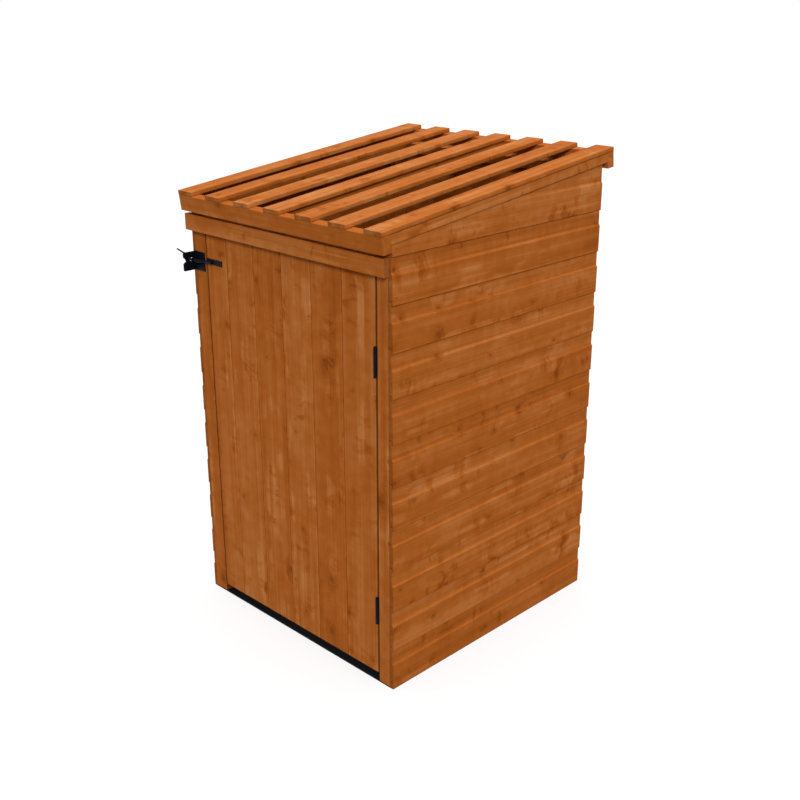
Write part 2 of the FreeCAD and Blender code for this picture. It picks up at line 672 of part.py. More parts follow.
def bracket_places():
    """Outer left face of the latch's ear and the pivot of its catch, in X, Y and Z."""
    ear_left = -INNER_SIDE - BRACKET_OUTSET
    pivot_y = FRONT - BRACKET_DEPTH + CATCH_PIVOT_SETBACK
    pivot_z = BRACKET_BOTTOM + CATCH_PIVOT_HEIGHT
    return ear_left, pivot_y, pivot_z


def ear_outline(x):
    """Side view of the bracket's ear, open to the front at the striker's slot."""
    front = FRONT - BRACKET_DEPTH
    top = BRACKET_BOTTOM + BRACKET_HEIGHT
    slot_low = BRACKET_BOTTOM + SLOT_BOTTOM
    slot_high = slot_low + SLOT_HEIGHT
    corner = BRACKET_CORNER
    outline = [
        (FRONT, BRACKET_BOTTOM), (FRONT, top),
        (front + corner, top), (front, top - corner),
        (front, slot_high + corner), (front + corner, slot_high),
        (front + SLOT_DEPTH - corner, slot_high), (front + SLOT_DEPTH, slot_high - corner),
        (front + SLOT_DEPTH, slot_low + corner), (front + SLOT_DEPTH - corner, slot_low),
        (front + SLOT_MOUTH_DEPTH, slot_low), (front, slot_low - SLOT_MOUTH_DROP),
        (front, BRACKET_BOTTOM + corner), (front + corner, BRACKET_BOTTOM),
    ]
    return [Vector(x, y, z) for y, z in outline]


def catch_outline(x):
    """Side view of the catch without its eye: heel, arm over the slot, hooked finger and lever.

    The heel stops the catch on the bracket's plate. The nose reaches under the striker and holds
    it, and its slanted front lets the striker of a closing door lift the catch.
    """
    _, pivot_y, pivot_z = bracket_places()
    heel = FRONT - BRACKET_THICKNESS - CATCH_HEEL_GAP - pivot_y
    arm_low = BRACKET_BOTTOM + STRIKER_HEIGHT + STRIKER_RADIUS + STRIKER_ARM_GAP - pivot_z
    striker_middle = BRACKET_BOTTOM + STRIKER_HEIGHT - pivot_z
    lever_root = CATCH_ARM_RISE - CATCH_LEVER_THICKNESS
    outline = [
        (0, arm_low), (heel, -CATCH_HEEL_DROP), (heel, 0), (0, CATCH_EYE_RADIUS),
        (-CATCH_SHOULDER, CATCH_ARM_RISE), (-CATCH_LEVER_ROOT, CATCH_ARM_RISE),
        (CATCH_LEVER_THICKNESS / 2 - CATCH_LEVER_REACH, CATCH_LEVER_RISE),
        (-CATCH_LEVER_REACH, CATCH_LEVER_RISE - CATCH_LEVER_THICKNESS),
        (-CATCH_FINGER_FRONT, lever_root), (-CATCH_FINGER_FRONT, -CATCH_SLANT_DROP),
        (-CATCH_NOSE_FRONT, -CATCH_NOSE_DROP), (-CATCH_NOSE_BACK, -CATCH_NOSE_DROP),
        (-CATCH_NOSE_BACK, -CATCH_HOOK_DROP), (-CATCH_FINGER_BACK, striker_middle),
        (-CATCH_FINGER_BACK, arm_low),
    ]
    return [Vector(x, pivot_y + forward, pivot_z + rise) for forward, rise in outline]


def rounded_path(points, radius):
    """Wire along straight runs with an arc of one radius at each inner point."""
    edges = []
    start = points[0]
    for before, corner, after in zip(points, points[1:], points[2:]):
        towards = (before - corner).normalize()
        away = (after - corner).normalize()
        half_turn = (math.pi - towards.getAngle(away)) / 2
        trim = radius * math.tan(half_turn)
        bisector = (towards + away).normalize()
        centre = corner + bisector * (radius / math.cos(half_turn))
        arc_start = corner + towards * trim
        arc_end = corner + away * trim
        arc_middle = centre - bisector * radius
        edges.append(Part.LineSegment(start, arc_start).toShape())
        edges.append(Part.Arc(arc_start, arc_middle, arc_end).toShape())
        start = arc_end
    edges.append(Part.LineSegment(start, points[-1]).toShape())
    return Part.Wire(edges)


def add_latch(store):
    """Bracket, catch and pivot pin on the latch post, and the striker on the door."""
    ear_left, pivot_y, pivot_z = bracket_places()
    top = BRACKET_BOTTOM + BRACKET_HEIGHT
    plate = box(
        ear_left, ear_left + BRACKET_WIDTH, FRONT - BRACKET_THICKNESS, FRONT, BRACKET_BOTTOM, top)
    ear = prism(ear_outline(ear_left), Vector(BRACKET_THICKNESS, 0, 0))
    bore = Part.makeCylinder(
        CATCH_PIN_RADIUS + PIN_CLEARANCE, 2 * BRACKET_WIDTH,
        Vector(ear_left - BRACKET_WIDTH, pivot_y, pivot_z), X_AXIS)
    store.add("latch_bracket", single(plate.fuse(ear).cut(bore)))
    catch_left = ear_left + BRACKET_THICKNESS + CATCH_SIDE_GAP
    catch = prism(catch_outline(catch_left), Vector(CATCH_THICKNESS, 0, 0))
    eye = Part.makeCylinder(
        CATCH_EYE_RADIUS, CATCH_THICKNESS, Vector(catch_left, pivot_y, pivot_z), X_AXIS)
    store.add("latch_catch", single(catch.fuse(eye).cut(bore)))
    head_face = catch_left + CATCH_THICKNESS + CATCH_SIDE_GAP
    shank = Part.makeCylinder(
        CATCH_PIN_RADIUS, head_face - ear_left, Vector(ear_left, pivot_y, pivot_z), X_AXIS)
    heads = [
        Part.makeCylinder(
            CATCH_PIN_HEAD_RADIUS, CATCH_PIN_HEAD_THICKNESS, Vector(x, pivot_y, pivot_z), X_AXIS)
        for x in (ear_left - CATCH_PIN_HEAD_THICKNESS, head_face)
    ]
    store.add("latch_pivot_pin", single(shank.fuse(heads)))
    screw_left = catch_left + CATCH_THICKNESS + 2 * SCREW_HEAD_RADIUS
    screw_right = ear_left + BRACKET_WIDTH - 2 * SCREW_HEAD_RADIUS
    for x in (screw_left, screw_right):
        for z in (BRACKET_BOTTOM + 2 * SCREW_HEAD_RADIUS, top - 2 * SCREW_HEAD_RADIUS):
            store.fasten(
                "bracket_screws", screw, Vector(x, FRONT - BRACKET_THICKNESS, z), Y_AXIS,
                ("latch_bracket", "latch_post"), HINGE_SCREW_LENGTH)
    add_striker(store, ear_left)


def add_striker(store, ear_left):
    """Strap screwed to the door, with the round bar that the catch holds."""
    strap_left = DOOR_LEFT + STRAP_INSET
    strap_right = strap_left + STRAP_LENGTH
    bar_height = BRACKET_BOTTOM + STRIKER_HEIGHT
    strap_middle = bar_height + STRAP_RISE
    strap_front = FRONT - STRAP_THICKNESS
    strap = box(
        strap_left, strap_right, strap_front, FRONT,
        strap_middle - STRAP_HEIGHT / 2, strap_middle + STRAP_HEIGHT / 2)
    weld_y = strap_front - STRIKER_RADIUS + STRIKER_WELD_DEPTH
    bar_y = FRONT - BRACKET_DEPTH + STRIKER_SET_BACK
    crank = 2 * STRIKER_BEND_RADIUS
    points = [
        Vector(strap_left + STRIKER_WELD_LENGTH, weld_y, bar_height),
        Vector(strap_left, weld_y, bar_height),
        Vector(strap_left - crank, bar_y, bar_height),
        Vector(ear_left - STRIKER_OVERRUN, bar_y, bar_height),
    ]
    section = Part.Wire(Part.Circle(points[0], X_AXIS, STRIKER_RADIUS).toShape())
    bar = rounded_path(points, STRIKER_BEND_RADIUS).makePipeShell([section], True, False)
    store.add("striker_bar", single(strap.fuse(bar)))
    boards = [name for name in store.nodes if name.startswith("door_board")]
    for share in STRAP_SCREW_PLACES:
        head = Vector(strap_left + share * STRAP_LENGTH, strap_front, strap_middle)
        store.fasten(
            "striker_screws", screw, head, Y_AXIS, ["striker_bar"] + boards, STRIKER_SCREW_LENGTH)


def main():
    """Build every node and write it."""
    store = Store()
    add_walls(store)
    add_frame(store)
    nail_walls(store)
    add_door(store)
    add_lid(store)
    add_door_hinges(store)
    add_lid_hinges(store)
    add_latch(store)
    store.export()


main()
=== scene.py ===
"""Dress the wheelie bin store: stained softwood, black ironmongery, floor, light and camera."""

import logging
import math
import random
from dataclasses import dataclass, field
from enum import Enum, Flag, auto
from typing import Any, Iterable, NamedTuple

import bmesh
import bpy
from mathutils import Matrix, Vector


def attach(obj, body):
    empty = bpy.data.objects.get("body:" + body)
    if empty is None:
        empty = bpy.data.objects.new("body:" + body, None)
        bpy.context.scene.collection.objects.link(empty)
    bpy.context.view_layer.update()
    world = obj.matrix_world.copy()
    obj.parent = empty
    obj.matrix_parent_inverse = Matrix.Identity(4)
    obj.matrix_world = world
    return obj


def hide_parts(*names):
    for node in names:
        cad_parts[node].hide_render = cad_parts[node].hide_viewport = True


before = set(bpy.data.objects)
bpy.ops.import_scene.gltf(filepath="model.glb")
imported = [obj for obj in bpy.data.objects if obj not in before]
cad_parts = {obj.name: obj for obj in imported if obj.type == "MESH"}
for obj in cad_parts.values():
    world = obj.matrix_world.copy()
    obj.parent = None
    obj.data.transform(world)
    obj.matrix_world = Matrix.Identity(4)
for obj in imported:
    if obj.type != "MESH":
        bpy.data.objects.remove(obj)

log = logging.getLogger("bin_store")

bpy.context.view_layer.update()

Triple = tuple[float, float, float]
Colour = Triple
Waves = Triple
Fade = tuple[float, float]
Triangles = list[tuple[Vector, ...]]
Ring = list[bmesh.types.BMVert]

# Directions in the store, and those that follow the slope of its lid
ROOF_PITCH = math.radians(6.8)
RIGHT = (1.0, 0.0, 0.0)
BACK = (0.0, 1.0, 0.0)
UP = (0.0, 0.0, 1.0)
UP_SLOPE = (0.0, math.cos(ROOF_PITCH), math.sin(ROOF_PITCH))
OFF_SLOPE = (0.0, -math.sin(ROOF_PITCH), math.cos(ROOF_PITCH))

# A half size in metres beyond any board's, for sides where no stain has gathered and no shade is
# painted
FAR_OFF = 2.0

# Steps to the metre on which corners are compared, the distance at which two are one, and the
# decimals by which solids are put in order
CORNER_GRID = 1e5
WELD = 1 / CORNER_GRID
ORDER_DIGITS = 4

# Turns between two faces: still flat, a corner of timber or metal, and the edge of a flat end
FLAT_TURN = math.radians(0.6)
CORNER_TURN = math.radians(35)
SHARP_TURN = math.radians(50)

# Sockets of a Mix node on colours, which share their names with others
MIX_SHARE, MIX_FIRST, MIX_SECOND, MIX_RESULT = 0, 6, 7, 2

WHITE = (1.0, 1.0, 1.0)


def srgb(red: int, green: int, blue: int) -> Colour:
    """Turn a colour as a screen shows it into the linear values that a shader takes.

    Args:
        red: Red, 0 to 255.
        green: Green, 0 to 255.
        blue: Blue, 0 to 255.

    Returns:
        The linear colour.
    """
    def linear(level: int) -> float:
        """Linear value of one channel."""
        share = level / 255
        return share / 12.92 if share <= 0.04045 else ((share + 0.055) / 1.055) ** 2.4

    return (linear(red), linear(green), linear(blue))


class Signal:
    """A number on a socket; arithmetic on it adds Math nodes to its graph."""

    def __init__(self, graph: "Graph", socket: bpy.types.NodeSocket) -> None:
        """Hold a socket and the graph that it belongs to."""
        self.graph = graph
        self.socket = socket

    def __add__(self, other: "Signal | float") -> "Signal":
        """This number plus another."""
        return self.graph.math("ADD", self, other)

    def __sub__(self, other: "Signal | float") -> "Signal":
        """This number less another."""
        return self.graph.math("SUBTRACT", self, other)

    def __rsub__(self, other: float) -> "Signal":
        """A plain number less this one."""
        return self.graph.math("SUBTRACT", other, self)

    def __mul__(self, other: "Signal | float") -> "Signal":
        """This number times another."""
        return self.graph.math("MULTIPLY", self, other)

    def __truediv__(self, other: "Signal | float") -> "Signal":
        """This number over another."""
        return self.graph.math("DIVIDE", self, other)

    def __rtruediv__(self, other: float) -> "Signal":
        """A plain number over this one."""
        return self.graph.math("DIVIDE", other, self)

    __radd__ = __add__
    __rmul__ = __mul__

    def size(self) -> "Signal":
        """The number without its sign."""
        return self.graph.math("ABSOLUTE", self)

    def most(self, other: "Signal | float") -> "Signal":
        """The larger of this and another number."""
        return self.graph.math("MAXIMUM", self, other)

    def rise(self, low: float, high: float) -> "Signal":
        """Go smoothly from 0 at low to 1 at high.

        Args:
            low: Value that gives 0.
            high: Value that gives 1.

        Returns:
            The eased share.
        """
        eased = self.graph.out(
            "ShaderNodeMapRange", {"Value": self, "From Min": low, "From Max": high},
            interpolation_type="SMOOTHSTEP")
        return Signal(self.graph, eased)


class Graph:
    """Node tree whose nodes all come from one method."""

    def __init__(self, tree: bpy.types.NodeTree) -> None:
        """Take over a node tree of a material, a world or a modifier."""
        self.tree = tree

    def add(self, kind: str, inputs: dict[Any, Any], **settings: Any) -> bpy.types.Node:
        """Add a node, set it up, then feed its sockets.

        Args:
            kind: Blender's node type.
            inputs: Values or links by socket name or number.
            settings: Properties of the node; "stops" fills a colour ramp.

        Returns:
            The node.
        """
        node = self.tree.nodes.new(kind)
        for key, value in settings.items():
            if key == "stops":
                self._fill_ramp(node, value)
            else:
                setattr(node, key, value)
        for key, value in inputs.items():
            self.feed(node.inputs[key], value)
        return node

    def out(self, kind: str, inputs: dict[Any, Any], **settings: Any) -> bpy.types.NodeSocket:
        """Add a node in the same way and take its first output."""
        return self.add(kind, inputs, **settings).outputs[0]

    @staticmethod
    def _fill_ramp(node: bpy.types.Node, stops: Iterable[tuple[float, Colour]]) -> None:
        """Put the stops of a colour ramp in place.

        Args:
            node: The ramp, which starts with two stops.
            stops: Place and colour of each stop.
        """
        elements = node.color_ramp.elements
        for number, (position, colour) in enumerate(stops):
            element = elements[number] if number < len(elements) else elements.new(position)
            element.position = position
            element.color = (*colour, 1.0)

    def feed(self, target: bpy.types.NodeSocket, value: Any) -> None:
        """Link a signal or socket to an input, or set its value.

        Args:
            target: The input.
            value: What it gets.
        """
        if isinstance(value, Signal):
            value = value.socket
        if isinstance(value, bpy.types.NodeSocket):
            self.tree.links.new(value, target)
        elif isinstance(value, tuple) and target.type == "RGBA":
            target.default_value = (*value, 1.0)
        else:
            target.default_value = value

    def math(self, operation: str, *values: "Signal | float") -> Signal:
        """Result of a Math node on one or two numbers."""
        return Signal(self, self.out(
            "ShaderNodeMath", dict(enumerate(values)), operation=operation))

    def vector(self, operation: str, first: Any, second: Any) -> bpy.types.NodeSocket:
        """Result of a Vector Math node on two vectors."""
        return self.out("ShaderNodeVectorMath", {0: first, 1: second}, operation=operation)

    def split(self, vector: bpy.types.NodeSocket) -> tuple[Signal, Signal, Signal]:
        """Three parts of a vector."""
        node = self.add("ShaderNodeSeparateXYZ", {0: vector})
        return tuple(Signal(self, output) for output in node.outputs)

    def join(self, *parts: "Signal | float") -> bpy.types.NodeSocket:
        """Vector of three numbers."""
        return self.out("ShaderNodeCombineXYZ", dict(enumerate(parts)))

    def directly_seen(self) -> Signal:
        """Tell what is seen directly from what only gets light.

        Returns:
            1 for camera, glossy and transmission rays and 0 for others.
        """
        ray = self.add("ShaderNodeLightPath", {})
        camera, glossy, sent = (
            Signal(self, ray.outputs[f"Is {name} Ray"])
            for name in ("Camera", "Glossy", "Transmission"))
        return camera.most(glossy).most(sent)


@dataclass(frozen=True)
class Noise:
    """Soft noise: its waves to the metre along each axis, its finer layers and how much it tells."""

    waves: Waves
    detail: float = 2.0
    roughness: float = 0.5
    weight: float = 1.0


@dataclass(frozen=True)
class Patches(Noise):
    """Noise cut into patches: none of it shows under low, and all of it over high."""

    low: float = 0.5
    high: float = 0.6


def even(waves: float) -> Waves:
    """The same number of waves along every axis."""
    return (waves, waves, waves)


class Paint(Graph):
    """Node tree of one material, with its principled shader."""

    def __init__(self, name: str) -> None:
        """Start a material.

        Args:
            name: Name of the material.
        """
        self.material = bpy.data.materials.new(name)
        self.material.use_nodes = True
        super().__init__(self.material.node_tree)
        self.shader = self.tree.nodes["Principled BSDF"]

    def attribute(self, name: str) -> bpy.types.NodeSocket:
        """Vector stored on the mesh under a name."""
        return self.add("ShaderNodeAttribute", {}, attribute_name=name).outputs["Vector"]

    def place(self) -> bpy.types.NodeSocket:
        """Place of the shaded point in the object's own coordinates."""
        return self.add("ShaderNodeTexCoord", {}).outputs["Object"]

    def noise(self, place: bpy.types.NodeSocket, noise: Noise) -> Signal:
        """Add soft noise.

        Args:
            place: Where the noise is read, in metres.
            noise: What the noise is like.

        Returns:
            Noise around 0.5.
        """
        return Signal(self, self.out("ShaderNodeTexNoise", {
            "Vector": self.vector("MULTIPLY", place, noise.waves), "Scale": 1.0,
            "Detail": noise.detail, "Roughness": noise.roughness}))

    def patches(self, place: bpy.types.NodeSocket, patches: Patches) -> Signal:
        """Share, from 0 to 1, of a place that patches cover."""
        return self.noise(place, patches).rise(patches.low, patches.high)

    def ramp(self, share: Signal, stops: Iterable[tuple[float, Colour]]) -> bpy.types.NodeSocket:
        """Colour that a number picks from a ramp."""
        return self.out("ShaderNodeValToRGB", {"Fac": share}, stops=stops)

    def mix(self, share: "Signal | float", first: Any, second: Any) -> bpy.types.NodeSocket:
        """Mix two colours.

        Args:
            share: How much of the second colour there is.
            first: Colour or socket at 0.
            second: Colour or socket at 1.

        Returns:
            The mixed colour.
        """
        node = self.add(
            "ShaderNodeMix", {MIX_SHARE: share, MIX_FIRST: first, MIX_SECOND: second},
            data_type="RGBA")
        return node.outputs[MIX_RESULT]

    def settle_shader(self, **constants: float) -> None:
        """Set sockets of the shader that are the same all over.

        Args:
            constants: Values by socket name, with underscores for its spaces.
        """
        for name, value in constants.items():
            self.shader.inputs[name.replace("_", " ")].default_value = value

    def finish(self, colour: bpy.types.NodeSocket, roughness: Signal, height: Signal,
               depth: float, **constants: float) -> bpy.types.Material:
        """Feed the shader.

        Args:
            colour: Base colour.
            roughness: Roughness.
            height: Relief from 0 to 1.
            depth: Depth of the relief in metres.
            constants: Further sockets of the shader that are the same all over.

        Returns:
            The material.
        """
        self.feed(self.shader.inputs["Base Color"], colour)
        self.feed(self.shader.inputs["Roughness"], roughness)
        self.feed(self.shader.inputs["Normal"], self.out(
            "ShaderNodeBump", {"Strength": 1.0, "Distance": depth, "Height": height}))
        self.settle_shader(**constants)
        return self.material


class Seam(NamedTuple):
    """Darkening along an edge, gathered stain and painted shade: full up to one distance in metres,
    gone at another, and its share.
    """

    full: float
    gone: float
    share: float

    def gathered(self, distance: Signal) -> Signal:
        """Share of gathered stain and painted shade at a distance from the edge."""
        return (1 - distance.rise(self.full, self.gone)) * self.share


@dataclass(frozen=True)
class StainedSoftwood:
    """Planed softwood dipped in an orange-brown stain.

    The figure follows the mesh's own attributes: "grain" is the place in a board's own axes, "half"
    its half size and "board" its tone and two random numbers. Every wave is along, across and
    through the board.
    """

    name: str = "stained_softwood"

    # Colours from deep to thin stain with the levels where they stand, and those laid over them
    deep: Colour = srgb(145, 70, 15)
    stain: Colour = srgb(177, 97, 35)
    thin: Colour = srgb(199, 127, 70)
    levels: Triple = (0.05, 0.50, 0.95)
    knot: Colour = srgb(108, 54, 14)
    # Darkest colour over edges and ends: gathered stain, and painted shade in gaps, laps and under
    # the slats
    stain_and_shade: Colour = srgb(66, 32, 12)

    # Figure of the wood, and how far its random numbers move it from board to board in metres
    shift: Triple = (0.0, 7.0, 11.0)
    band: Noise = Noise((0.7, 34.0, 34.0), weight=0.6)
    streak: Noise = Noise((1.6, 140.0, 140.0), roughness=0.6, weight=0.5)
    fibre: Noise = Noise((20.0, 900.0, 900.0), roughness=0.7, weight=0.14)
    cloud: Noise = Noise((7.0, 10.0, 10.0), detail=1.0, weight=0.4)
    blotch: Noise = Noise((34.0, 26.0, 26.0), detail=3.0, roughness=0.6, weight=0.4)
    lane: Patches = Patches((0.9, 44.0, 44.0), detail=1.0, low=0.50, high=0.60)
    bare: Patches = Patches((8.0, 15.0, 15.0), weight=0.26, low=0.48, high=0.64)

    # Dull marks that lie across the grain
    sway: Noise = Noise((14.0, 26.0, 26.0), detail=1.0, weight=0.045)
    mark: Patches = Patches((34.0, 8.0, 8.0), detail=3.0, roughness=0.6, low=0.49, high=0.68)
    cluster: Patches = Patches((8.0, 15.0, 15.0), weight=0.36, low=0.50, high=0.63)
    halo_marks: float = 0.24

    # Knots, in metres, and the halo round each, in the knot's own reach
    knot_spacing: float = 0.13
    knot_stretch: Triple = (0.85, 1.0, 0.0)
    knot_ripple: Noise = Noise(even(90.0), roughness=0.6, weight=1.2)
    smallest_knot: float = 0.003
    knot_growth: float = 0.007
    knot_chance: Fade = (0.30, 0.36)
    knot_fade: Fade = (0.3, 1.5)
    knot_share: float = 0.5
    halo_reach: float = 5.0
    halo_fade: Fade = (0.1, 1.0)
    halo_share: float = 0.14
    halo_push: float = 0.012

    # Darkening of the narrow sides, the long edges, the sawn ends and the lower edge: stain gathered
    # at the edges and end grain, and painted shade in the gaps between boards and posts, along the
    # laps and under the slats
    side: Seam = Seam(0.0001, 0.0008, 0.76)
    edge: Seam = Seam(0.0003, 0.0024, 0.55)
    end: Seam = Seam(0.0002, 0.0016, 0.32)
    foot: Seam = Seam(0.0006, 0.0026, 0.5)
    seam_waver: float = 0.002

    # Sheen and relief
    roughness: float = 0.66
    fibre_roughness: float = 0.14
    knot_gloss: float = 0.1
    relief: float = 0.0003
    fibre_relief: float = 0.3
    streak_relief: float = 0.4
    mark_relief: float = 0.4
    knot_relief: float = 0.3
    specular: float = 0.04

    def build(self) -> bpy.types.Material:
        """Build the material's nodes.

        Returns:
            The material.
        """
        paint = Paint(self.name)
        board = paint.attribute("board")
        patch = paint.vector(
            "ADD", paint.attribute("grain"), paint.vector("MULTIPLY", board, self.shift))
        knot, halo = self._knots(paint, patch)
        marks = self._cross_marks(paint, patch, halo)
        pushed = paint.vector("ADD", patch, paint.join(0.0, halo * self.halo_push, 0.0))
        streak = paint.noise(pushed, self.streak)
        fibre = paint.noise(pushed, self.fibre)
        blotch = paint.noise(patch, self.blotch)
        bare = paint.patches(pushed, self.lane) * paint.patches(patch, self.bare)

        level, _, _ = paint.split(board)
        for noise, layer in (
            (paint.noise(pushed, self.band), self.band), (streak, self.streak),
            (fibre, self.fibre), (paint.noise(patch, self.cloud), self.cloud),
            (blotch, self.blotch),
        ):
            level = level + (noise - 0.5) * layer.weight
        level = level + bare * self.bare.weight - marks - halo * self.halo_share

        colour = paint.ramp(level, zip(self.levels, (self.deep, self.stain, self.thin)))
        colour = paint.mix(knot * self.knot_share, colour, self.knot)
        colour = paint.mix(self._stain_and_shade_edges(paint, blotch), colour, self.stain_and_shade)
        roughness = self.roughness + (fibre - 0.5) * self.fibre_roughness - knot * self.knot_gloss
        height = (
            fibre * self.fibre_relief + streak * self.streak_relief
            - marks * self.mark_relief - knot * self.knot_relief)
        return paint.finish(
            colour, roughness, height, self.relief, Specular_IOR_Level=self.specular)

    def _knots(self, paint: Paint, patch: bpy.types.NodeSocket) -> tuple[Signal, Signal]:
        """Scatter small knots.

        Args:
            paint: The material's graph.
            patch: Where the pattern is read.

        Returns:
            The knot itself, and the share that fades away round it.
        """
        ripple = paint.noise(patch, self.knot_ripple)
        cell = paint.add("ShaderNodeTexVoronoi", {
            "Vector": paint.vector("MULTIPLY", patch, self.knot_stretch),
            "Scale": 1 / self.knot_spacing, "Randomness": 1.0}, voronoi_dimensions="2D")
        chance, size, _ = paint.split(cell.outputs["Color"])
        away = Signal(paint, cell.outputs["Distance"]) * self.knot_spacing
        near = away * (1 + (ripple - 0.5) * self.knot_ripple.weight)
        reach = size * size * self.knot_growth + self.smallest_knot
        there = chance.rise(*self.knot_chance)
        knot = (1 - (near / reach).rise(*self.knot_fade)) * there
        halo = (1 - (near / (reach * self.halo_reach)).rise(*self.halo_fade)) * there
        return knot, halo

    def _cross_marks(self, paint: Paint, patch: bpy.types.NodeSocket, halo: Signal) -> Signal:
        """Lay dull marks across the grain, in clusters and round the knots.

        Args:
            paint: The material's graph.
            patch: Where the pattern is read.
            halo: Share that fades away round the knots.

        Returns:
            How much the marks darken a place.
        """
        sway = (paint.noise(patch, self.sway) - 0.5) * self.sway.weight
        bent = paint.vector("ADD", patch, paint.join(sway, 0.0, 0.0))
        cluster = paint.patches(patch, self.cluster) * self.cluster.weight
        return paint.patches(bent, self.mark) * (cluster + halo * self.halo_marks)

    def _stain_and_shade_edges(self, paint: Paint, blotch: Signal) -> Signal:
        """Darken the narrow sides, long edges, sawn ends and lower edge of a board: gathered stain,
        and painted shade in gaps, laps and under the slats.

        Args:
            paint: The material's graph.
            blotch: Noise that makes the edges of the gathered stain waver.

        Returns:
            Share of gathered stain and painted shade.
        """
        half_length, half_width, half_depth = paint.split(paint.attribute("half"))
        along, across, through = paint.split(paint.attribute("grain"))
        waver = (blotch - 0.5) * self.seam_waver
        from_side = half_width - across.size()
        from_end = half_length - along.size()
        from_foot = half_depth + through
        return (
            self.side.gathered(from_side)
            .most(self.edge.gathered(from_side + waver))
            .most(self.end.gathered(from_end + waver))
            .most(self.foot.gathered(from_foot + waver)))


@dataclass(frozen=True)
class PowderCoat:
    """Black powder coat, slightly orange-peeled, thinner and scuffed in places."""

    name: str = "black_powder_coat"
    coat: Colour = srgb(8, 13, 21)
    scuff: Colour = srgb(28, 36, 48)
    grime: Colour = srgb(120, 100, 80)
    peel: Noise = Noise(even(900.0))
    wear: Patches = Patches(
        (110.0, 110.0, 260.0), detail=4.0, roughness=0.65, weight=0.55, low=0.60, high=0.72)
    dust: Patches = Patches(even(35.0), detail=3.0, weight=0.06, low=0.5, high=0.8)
    roughness: float = 0.42
    dust_roughness: float = 0.2
    worn_roughness: float = 0.15
    relief: float = 0.00006
    specular: float = 0.07

    def build(self) -> bpy.types.Material:
        """Build the material's nodes.

        Returns:
            The material.
        """
        paint = Paint(self.name)
        place = paint.place()
        worn = paint.patches(place, self.wear)
        dust = paint.noise(place, self.dust)
        dusty = dust.rise(self.dust.low, self.dust.high)
        colour = paint.mix(worn * self.wear.weight, self.coat, self.scuff)
        colour = paint.mix(dusty * self.dust.weight, colour, self.grime)
        roughness = (
            self.roughness + (dust - 0.5) * self.dust_roughness + worn * self.worn_roughness)
        return paint.finish(
            colour, roughness, paint.noise(place, self.peel), self.relief,
            Specular_IOR_Level=self.specular)


@dataclass(frozen=True)
class ZincPlate:
    """Zinc plated steel of nail and screw heads, filmed over with stain."""

    name: str = "zinc_plate"
    metal: Colour = srgb(126, 80, 42)
    stain: Colour = srgb(148, 74, 22)
    film: Patches = Patches(even(300.0), detail=3.0, weight=0.9, low=0.35, high=0.62)
    grain: Noise = Noise(even(1500.0))
    roughness: float = 0.5
    film_roughness: float = 0.25
    relief: float = 0.00003
    metallic: float = 0.15
    specular: float = 0.1

    def build(self) -> bpy.types.Material:
        """Build the material's nodes.

        Returns:
            The material.
        """
        paint = Paint(self.name)
        place = paint.place()
        film = paint.patches(place, self.film)
        return paint.finish(
            paint.mix(film * self.film.weight, self.metal, self.stain),
            self.roughness + film * self.film_roughness, paint.noise(place, self.grain),
            self.relief, Metallic=self.metallic, Specular_IOR_Level=self.specular)


@dataclass(frozen=True)
class BlackShadeSheet:
    """Thin black sheet under the store, painted shade: it stands in for the shadowed ground seen
    under the door and posts; matt with a fine emboss and a little dust.
    """

    name: str = "black_sheet"
    black: Colour = srgb(15, 16, 20)
    grey: Colour = srgb(48, 44, 42)
    emboss: Noise = Noise(even(700.0), detail=1.0)
    dust: Patches = Patches(
        even(9.0), detail=4.0, roughness=0.6, weight=0.25, low=0.5, high=0.8)
    roughness: float = 0.55
    dusty_roughness: float = 0.25
    relief: float = 0.0002
    specular: float = 0.2

    def build(self) -> bpy.types.Material:
        """Build the material's nodes.

        Returns:
            The material.
        """
        paint = Paint(self.name)
        place = paint.place()
        dusty = paint.patches(place, self.dust)
        return paint.finish(
            paint.mix(dusty * self.dust.weight, self.black, self.grey),
            self.roughness + dusty * self.dusty_roughness, paint.noise(place, self.emboss),
            self.relief, Specular_IOR_Level=self.specular)


class Slot(Enum):
    """The record's material slots."""

    WOOD = "stained_softwood"
    STEEL = "black_steel"
    ZINC = "zinc_plated_steel"
    SHEET = "black_sheet"


class Finishes:
    """One material for each slot of the record."""

    def __init__(self) -> None:
        """Build the materials."""
        self._made = {
            Slot.WOOD: StainedSoftwood().build(),
            Slot.STEEL: PowderCoat().build(),
            Slot.ZINC: ZincPlate().build(),
            Slot.SHEET: BlackShadeSheet().build(),
        }

    def of(self, slot: Slot) -> bpy.types.Material:
        """Material of a slot."""
        return self._made[slot]


class Dark(Flag):
    """Where a timber is darkened: gathered stain and painted shade."""

    NOWHERE = 0
    SIDES = auto()
    ENDS = auto()
    BOTH = SIDES | ENDS


class Grain(Enum):
    """How a timber lies: the way its grain runs, and the way across its face."""

    UPRIGHT = (UP, RIGHT)
    CROSSWISE = (RIGHT, UP)
    BACKWARD = (BACK, UP)
    UP_ROOF = (UP_SLOPE, RIGHT)
    UP_ROOF_ON_EDGE = (UP_SLOPE, OFF_SLOPE)
    ALONG_EAVES = (RIGHT, OFF_SLOPE)

    def axes(self) -> Matrix:
        """Matrix that turns a place in the store into along, across and depth."""
        along, across = (Vector(way) for way in self.value)
        return Matrix((along, across, along.cross(across)))


class Timber(NamedTuple):
    """How a timber looks: how it lies, how pale it is, how much that varies, and where it is
    darkened by gathered stain and painted shade.
    """

    grain: Grain
    tone: float = 0.5
    spread: float = 0.0
    dark: Dark = Dark.ENDS


